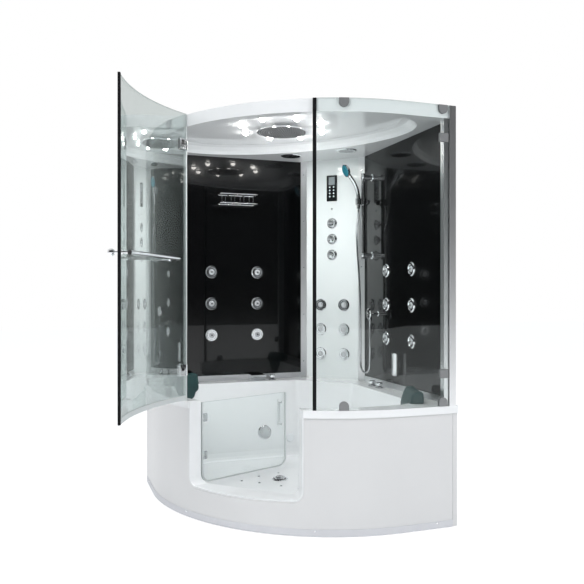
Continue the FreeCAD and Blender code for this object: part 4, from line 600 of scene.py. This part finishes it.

# %% [markdown]
# The shower hose hangs from the elbow in a long limp loop and climbs to the handset. A NURBS curve
# through a few listed points gives one smooth line. The real hose is wound metal strip, so its skin
# is a row of fine ribs: the tube's rings are alternately wide and narrow.

# %% Route of the hose
route = [
    (0.629, 0.143, 1.060), (0.6285, 0.145, 1.005), (0.627, 0.139, 0.905), (0.627, 0.1415, 0.815),
    (0.625, 0.141, 0.757), (0.6215, 0.1597, 0.7303), (0.616, 0.190, 0.7205),
    (0.6105, 0.2203, 0.7303), (0.607, 0.239, 0.757), (0.606, 0.241, 0.815), (0.605, 0.237, 0.920),
    (0.604, 0.236, 1.090),
    (0.601, 0.240, 1.250), (0.597, 0.252, 1.410), (0.593, 0.268, 1.560), (0.589, 0.262, 1.670),
    (0.585, 0.226, 1.738), (0.585, 0.226, 1.790),
]
line = bpy.data.curves.new("hose line", "CURVE")
line.dimensions = "3D"
line.resolution_u = 24
spline = line.splines.new("NURBS")
spline.points.add(len(route) - 1)
for point, place in zip(spline.points, route):
    point.co = (*place, 1)
spline.order_u = 3
spline.use_endpoint_u = True
hose_line = bpy.data.objects.new("hose_line", line)
bpy.context.scene.collection.objects.link(hose_line)
middle = [v.co.copy() for v in bpy.data.meshes.new_from_object(hose_line).vertices]


# %% Ribbed tube along the route
def even_steps(points, step):
    """The same line walked in equal steps."""
    walked = [points[0]]
    left = step
    for a, b in zip(points, points[1:]):
        piece = (b - a).length
        done = 0.0
        while piece - done >= left:
            done += left
            walked.append(a.lerp(b, done / piece))
            left = step
        left -= piece - done
    walked.append(points[-1])
    return walked


def ribbed_tube(name, points, wide, narrow, around):
    """Rings of vertices carried along the line without twisting."""
    side = Vector((1, 0, 0))
    corners, faces = [], []
    for i, point in enumerate(points):
        ahead = (points[min(i + 1, len(points) - 1)] - points[max(i - 1, 0)]).normalized()
        side = (side - ahead * side.dot(ahead)).normalized()
        other = ahead.cross(side)
        radius = wide if i % 2 == 0 else narrow
        for k in range(around):
            turn = 2 * math.pi * k / around
            corners.append(point + (side * math.cos(turn) + other * math.sin(turn)) * radius)
    for i in range(len(points) - 1):
        for k in range(around):
            a, b = i * around + k, i * around + (k + 1) % around
            faces.append((a, b, b + around, a + around))
    faces.append(tuple(range(around))[::-1])
    faces.append(tuple(range(len(corners) - around, len(corners))))
    mesh = bpy.data.meshes.new(name)
    mesh.from_pydata(corners, [], faces)
    tube = bpy.data.objects.new(name, mesh)
    bpy.context.scene.collection.objects.link(tube)
    return tube


rib_step, rib_radius, groove_radius, sides = 0.0021, 0.0065, 0.0057, 14
steps = even_steps(middle, rib_step)
hose = ribbed_tube("shower_hose_spiral", steps, rib_radius, groove_radius, sides)
for face in hose.data.polygons:
    face.use_smooth = True
hose.data.materials.append(hose_metal)
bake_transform(hose)
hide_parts("shower_hose")
bpy.data.objects.remove(hose_line)
print(hose.name, "bends between cabin and handset_holder with", len(hose.data.polygons), "faces")

# %% [markdown]
# Each headrest is a wedge of soft foam that lies on the bath's edge: thick where the neck rests,
# with a thin tail that hangs down the slope of the bath. The fixed solid already has that wedge,
# so a copy of it is merged, remeshed into an even grid, rounded, and then swollen a little with a
# cloth simulation, so that its faces crown and its edges go soft as foam does.


# %% Headrest shape
def headrest_blank(name):
    """A merged copy of the left headrest's solid."""
    pad = copy_of(nodes["headrest_left"])
    pad.name = name
    pad.hide_render = False
    work = bmesh.new()
    work.from_mesh(pad.data)
    bmesh.ops.remove_doubles(work, verts=work.verts, dist=1e-5)
    work.to_mesh(pad.data)
    work.free()
    return pad


def soften(pad, most):
    """Remeshes, swells with cloth pressure, and keeps every point within most metres."""
    deselect()
    pad.select_set(True)
    bpy.context.view_layer.objects.active = pad
    pad.data.remesh_voxel_size = 0.005
    bpy.ops.object.voxel_remesh()
    rounded = pad.modifiers.new("rounded", "SMOOTH")
    rounded.factor = 0.5
    rounded.iterations = 36
    bpy.ops.object.modifier_apply(modifier="rounded")
    start = [v.co.copy() for v in pad.data.vertices]
    cloth = pad.modifiers.new("swell", "CLOTH")
    cloth.settings.use_pressure = True
    cloth.settings.uniform_pressure_force = 4
    cloth.settings.effector_weights.gravity = 0
    bpy.context.scene.frame_start = 1
    bpy.context.scene.frame_end = 20
    for step in range(1, 21):
        bpy.context.scene.frame_set(step)
    bpy.ops.object.modifier_apply(modifier="swell")
    bpy.context.scene.frame_set(1)
    for vertex, was in zip(pad.data.vertices, start):
        away = vertex.co - was
        if away.length > most:
            vertex.co = was + away.normalized() * most
    calm = pad.modifiers.new("calm", "SMOOTH")
    calm.factor = 0.5
    calm.iterations = 6
    bpy.ops.object.modifier_apply(modifier="calm")
    bpy.ops.object.shade_smooth()


def place_headrest(pad, name, side):
    hang(pad, name, "cabin", foam_skin)
    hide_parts(side)


# %% Both headrests
most_swell = 0.004
left_pad = headrest_blank("headrest_left_foam")
soften(left_pad, most_swell)
right_pad = copy_of(left_pad)
right_pad.data.transform(Matrix(((0, 1, 0, 0), (1, 0, 0, 0), (0, 0, 1, 0), (0, 0, 0, 1))))
right_pad.data.flip_normals()
place_headrest(left_pad, "headrest_left_foam", "headrest_left")
place_headrest(right_pad, "headrest_right_foam", "headrest_right")

# %% [markdown]
# The rain shower's face is a bright plate with soft black nozzles in rings, which are rubbed clean
# with a thumb. One short cone is modelled and copied round the rings. Each ring holds six more
# than the one inside it, as in a honeycomb, so that the water falls evenly.

# %% Rain shower face
rain_low, rain_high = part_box("rain_face")
rain_middle = (Vector(rain_low) + Vector(rain_high)) / 2
deselect()
bpy.ops.mesh.primitive_cylinder_add(vertices=96, radius=0.1392, depth=0.0016,
                                    location=(rain_middle.x, rain_middle.y, rain_high[2] - 0.0009))
plate = bpy.context.object
pick(plate, lambda face: face.normal.z < -0.5)
bpy.ops.mesh.inset(thickness=0.004, depth=0.0)
bpy.ops.mesh.inset(thickness=0.001, depth=-0.0004)
close_edit()
bpy.ops.object.transform_apply(location=True)
hang(plate, "rain_spray_plate", "cabin", spray_plate)
deselect()
bpy.ops.mesh.primitive_cone_add(vertices=12, radius1=0.0032, radius2=0.0050, depth=0.0020)
nozzle = bpy.context.object
nozzle_rings, ring_step = 9, 0.0146
nozzle_middle = Vector((rain_middle.x, rain_middle.y, rain_low[2] + 0.0010))
spread = []
for ring in range(1, nozzle_rings + 1):
    for i in range(6 * ring):
        turn = 2 * math.pi * i / (6 * ring)
        twin = copy_of(nozzle)
        off = Vector((math.cos(turn), math.sin(turn), 0)) * ring_step * ring
        twin.data.transform(Matrix.Translation(nozzle_middle + off))
        spread.append(twin)
nozzle.data.transform(Matrix.Translation(nozzle_middle))
nozzles = as_one([nozzle] + spread)
hang(nozzles, "rain_nozzles", "cabin", black_rubber_and_shade)
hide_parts("rain_face")

# %% [markdown]
# Each body jet has a turning nose. Its face shows a bright ring round a small dark outlet hole. A
# torus and a stepped black button are modelled once, and a copy goes to every nose, square to its
# wall. The black button is painted shade: it stands for the dark inside of the hole.


# %% Trims on the jet noses
def wall_out(place):
    """The way out of the wall that a jet sits on."""
    if place.y > 0.66:
        return Vector((0, -1, 0))
    return Vector((-1, 0, 0)) if place.x > 0.66 else INWARD


deselect()
bpy.ops.mesh.primitive_torus_add(major_radius=0.0132, minor_radius=0.0013, major_segments=40,
                                 minor_segments=8)
nose_ring = bpy.context.object
# The outlet button is near-black: painted shade for the hole in each jet nose.
deselect()
bpy.ops.mesh.primitive_cylinder_add(vertices=24, radius=0.0062, depth=0.0016)
outlet = bpy.context.object
pick(outlet, lambda face: face.normal.z > 0.5)
bpy.ops.mesh.inset(thickness=0.0018, depth=-0.0008)
close_edit()
rings, outlets = [], []
for place in middles("jet_noses"):
    out = wall_out(place)
    rings.append(copy_of(nose_ring))
    put(rings[-1], place + out * 0.0113, out)
    outlets.append(copy_of(outlet))
    put(outlets[-1], place + out * 0.0110, out)
bpy.data.objects.remove(nose_ring)
bpy.data.objects.remove(outlet)
hang(as_one(rings), "jet_nose_rings", "cabin", chrome)
hang(as_one(outlets), "jet_nose_outlet_shade_discs", "cabin", black_rubber_and_shade)

# %% [markdown]
# The touch panel is dark glass with a paler display window at the top and two columns of four
# keys below it, which glow faintly through the glass. They are thin discs on the glass, so the
# glow is a shape and not a picture.


# %% Glow behind the panel's glass
def key_light(name, low, high, strength):
    finish, tree, shader, place = start_finish(name)
    colour_between(tree, shader, drift(tree, place, 0.01), low, high)
    shader.inputs["Roughness"].default_value = 0.25
    shader.inputs["Emission Color"].default_value = (0.8, 0.9, 0.95, 1)
    shader.inputs["Emission Strength"].default_value = strength
    return finish


key_glow = key_light("touch key glow", (0.5, 0.54, 0.56), (0.62, 0.66, 0.68), 0.35)
display_glow = key_light("display glass", (0.14, 0.16, 0.17), (0.2, 0.22, 0.23), 0.12)

# %% Display window and touch keys
panel_low, panel_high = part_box("control_panel")
panel_middle = (Vector(panel_low) + Vector(panel_high)) / 2
panel_face = panel_middle + INWARD * 0.0042
across = Vector((1, -1, 0)).normalized()
keys = []
for side in (-1, 1):
    for row in range(4):
        deselect()
        bpy.ops.mesh.primitive_cylinder_add(vertices=32, radius=0.0052, depth=0.0010)
        key = bpy.context.object
        pick(key, lambda face: face.normal.z > 0.5)
        bpy.ops.mesh.inset(thickness=0.0008, depth=0.0002)
        close_edit()
        put(key, panel_face + across * side * 0.0145 + Vector((0, 0, 0.008 - 0.0215 * row)), INWARD)
        keys.append(key)
hang(as_one(keys), "panel_touch_keys", "cabin", key_glow)
deselect()
bpy.ops.mesh.primitive_cube_add(size=1)
window = bpy.context.object
window.scale = (0.044, 0.054, 0.0010)
bpy.ops.object.transform_apply(scale=True)
corners = window.modifiers.new("corners", "BEVEL")
corners.width = 0.0004
corners.segments = 2
bpy.ops.object.modifier_apply(modifier="corners")
put(window, panel_face + Vector((0, 0, 0.050)), INWARD)
hang(window, "panel_display", "cabin", display_glow)

# %% [markdown]
# The drain shows as rings inside rings: a flange, a dark gap and a domed plug with a finger ring.
# The dark gap and a groove on the plug are painted shade, thin black rings. The gap's ring stays
# with the flange, and the groove ring and the finger ring ride on the plug, which lifts.

# %% Drain rings
plug_low, plug_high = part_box("drain_plug")
plug_top = Vector(((plug_low[0] + plug_high[0]) / 2, (plug_low[1] + plug_high[1]) / 2,
                   plug_high[2]))
# The first two rings are near-black painted shade: in the gap round the plug and in the plug's
# groove.
for name, body, major, minor, drop, slot, finish in (
        ("drain_gap_shade_ring", "cabin", 0.0362, 0.0018, 0.0113, "spray_black", black_rubber_and_shade),
        ("plug_groove_shade_ring", "plug", 0.0200, 0.0022, 0.0024, "spray_black", black_rubber_and_shade),
        ("plug_finger_ring", "plug", 0.0100, 0.0020, 0.0005, "chrome", chrome)):
    deselect()
    bpy.ops.mesh.primitive_torus_add(major_radius=major, minor_radius=minor, major_segments=48,
                                     minor_segments=10,
                                     location=plug_top - Vector((0, 0, drop)))
    ring = bpy.context.object
    bpy.ops.object.transform_apply(location=True)
    bpy.ops.object.shade_smooth()
    hang(ring, name, body, finish)

# %% [markdown]
# The photo shows each ceiling spot only as a glow. The bezel and the domed lens, half of a
# sphere, are a guess: a dome also shows from the side, in the walls' mirror image. A small lamp
# under each one throws the pool of light on the glossy roof shell.

# %% Bezels and light pools of the spots
bezels, bulbs = [], []
for place in middles("led_spots"):
    deselect()
    bpy.ops.mesh.primitive_torus_add(major_radius=0.0205, minor_radius=0.0024, major_segments=40,
                                     minor_segments=8)
    bezel = bpy.context.object
    bpy.ops.object.shade_smooth()
    put(bezel, place - Vector((0, 0, 0.0008)), (0, 0, 1))
    bezels.append(bezel)
    deselect()
    bpy.ops.mesh.primitive_uv_sphere_add(segments=32, ring_count=16, radius=0.0185)
    bulb = bpy.context.object
    bpy.ops.object.mode_set(mode="EDIT")
    bpy.ops.mesh.bisect(plane_co=(0, 0, -0.001), plane_no=(0, 0, 1), use_fill=True,
                        clear_outer=True)
    bpy.ops.object.mode_set(mode="OBJECT")
    bpy.ops.object.shade_smooth()
    put(bulb, place - Vector((0, 0, 0.0006)), (0, 0, 1))
    bulbs.append(bulb)
    bpy.ops.object.light_add(type="POINT", location=place - Vector((0, 0, 0.04)))
    pool = bpy.context.object
    pool.data.shadow_soft_size = 0.02
    pool.data.energy = 0.16
    pool.visible_camera = False
    pool.visible_glossy = False
    pool.visible_transmission = False
hang(as_one(bezels), "led_bezels", "cabin", chrome)
hang(as_one(bulbs), "led_lens_domes", "cabin", lens)

# %% [markdown]
# The outer hinges carry a small black rubber insert on the plate inside the door. It rides on the
# door, so it swings with it.

# %% Inserts on the outer hinges
inside_door = Vector((0.636, -0.772, 0))
outside_plates = -0.110                       # hinge plates beyond this y are outside the door
inserts = []
for place in middles("outer_door_hinges"):
    if place.y > outside_plates:
        continue
    deselect()
    bpy.ops.mesh.primitive_cube_add(size=1)
    insert = bpy.context.object
    insert.scale = (0.022, 0.024, 0.002)
    bpy.ops.object.transform_apply(scale=True)
    soft = insert.modifiers.new("soft", "BEVEL")
    soft.width = 0.0008
    soft.segments = 2
    bpy.ops.object.modifier_apply(modifier="soft")
    put(insert, place + inside_door * 0.0038 + Vector((0, 0, 0.010)), inside_door)
    inserts.append(insert)
hang(as_one(inserts), "outer_hinge_inserts", "outer_door", black_rubber_and_shade)
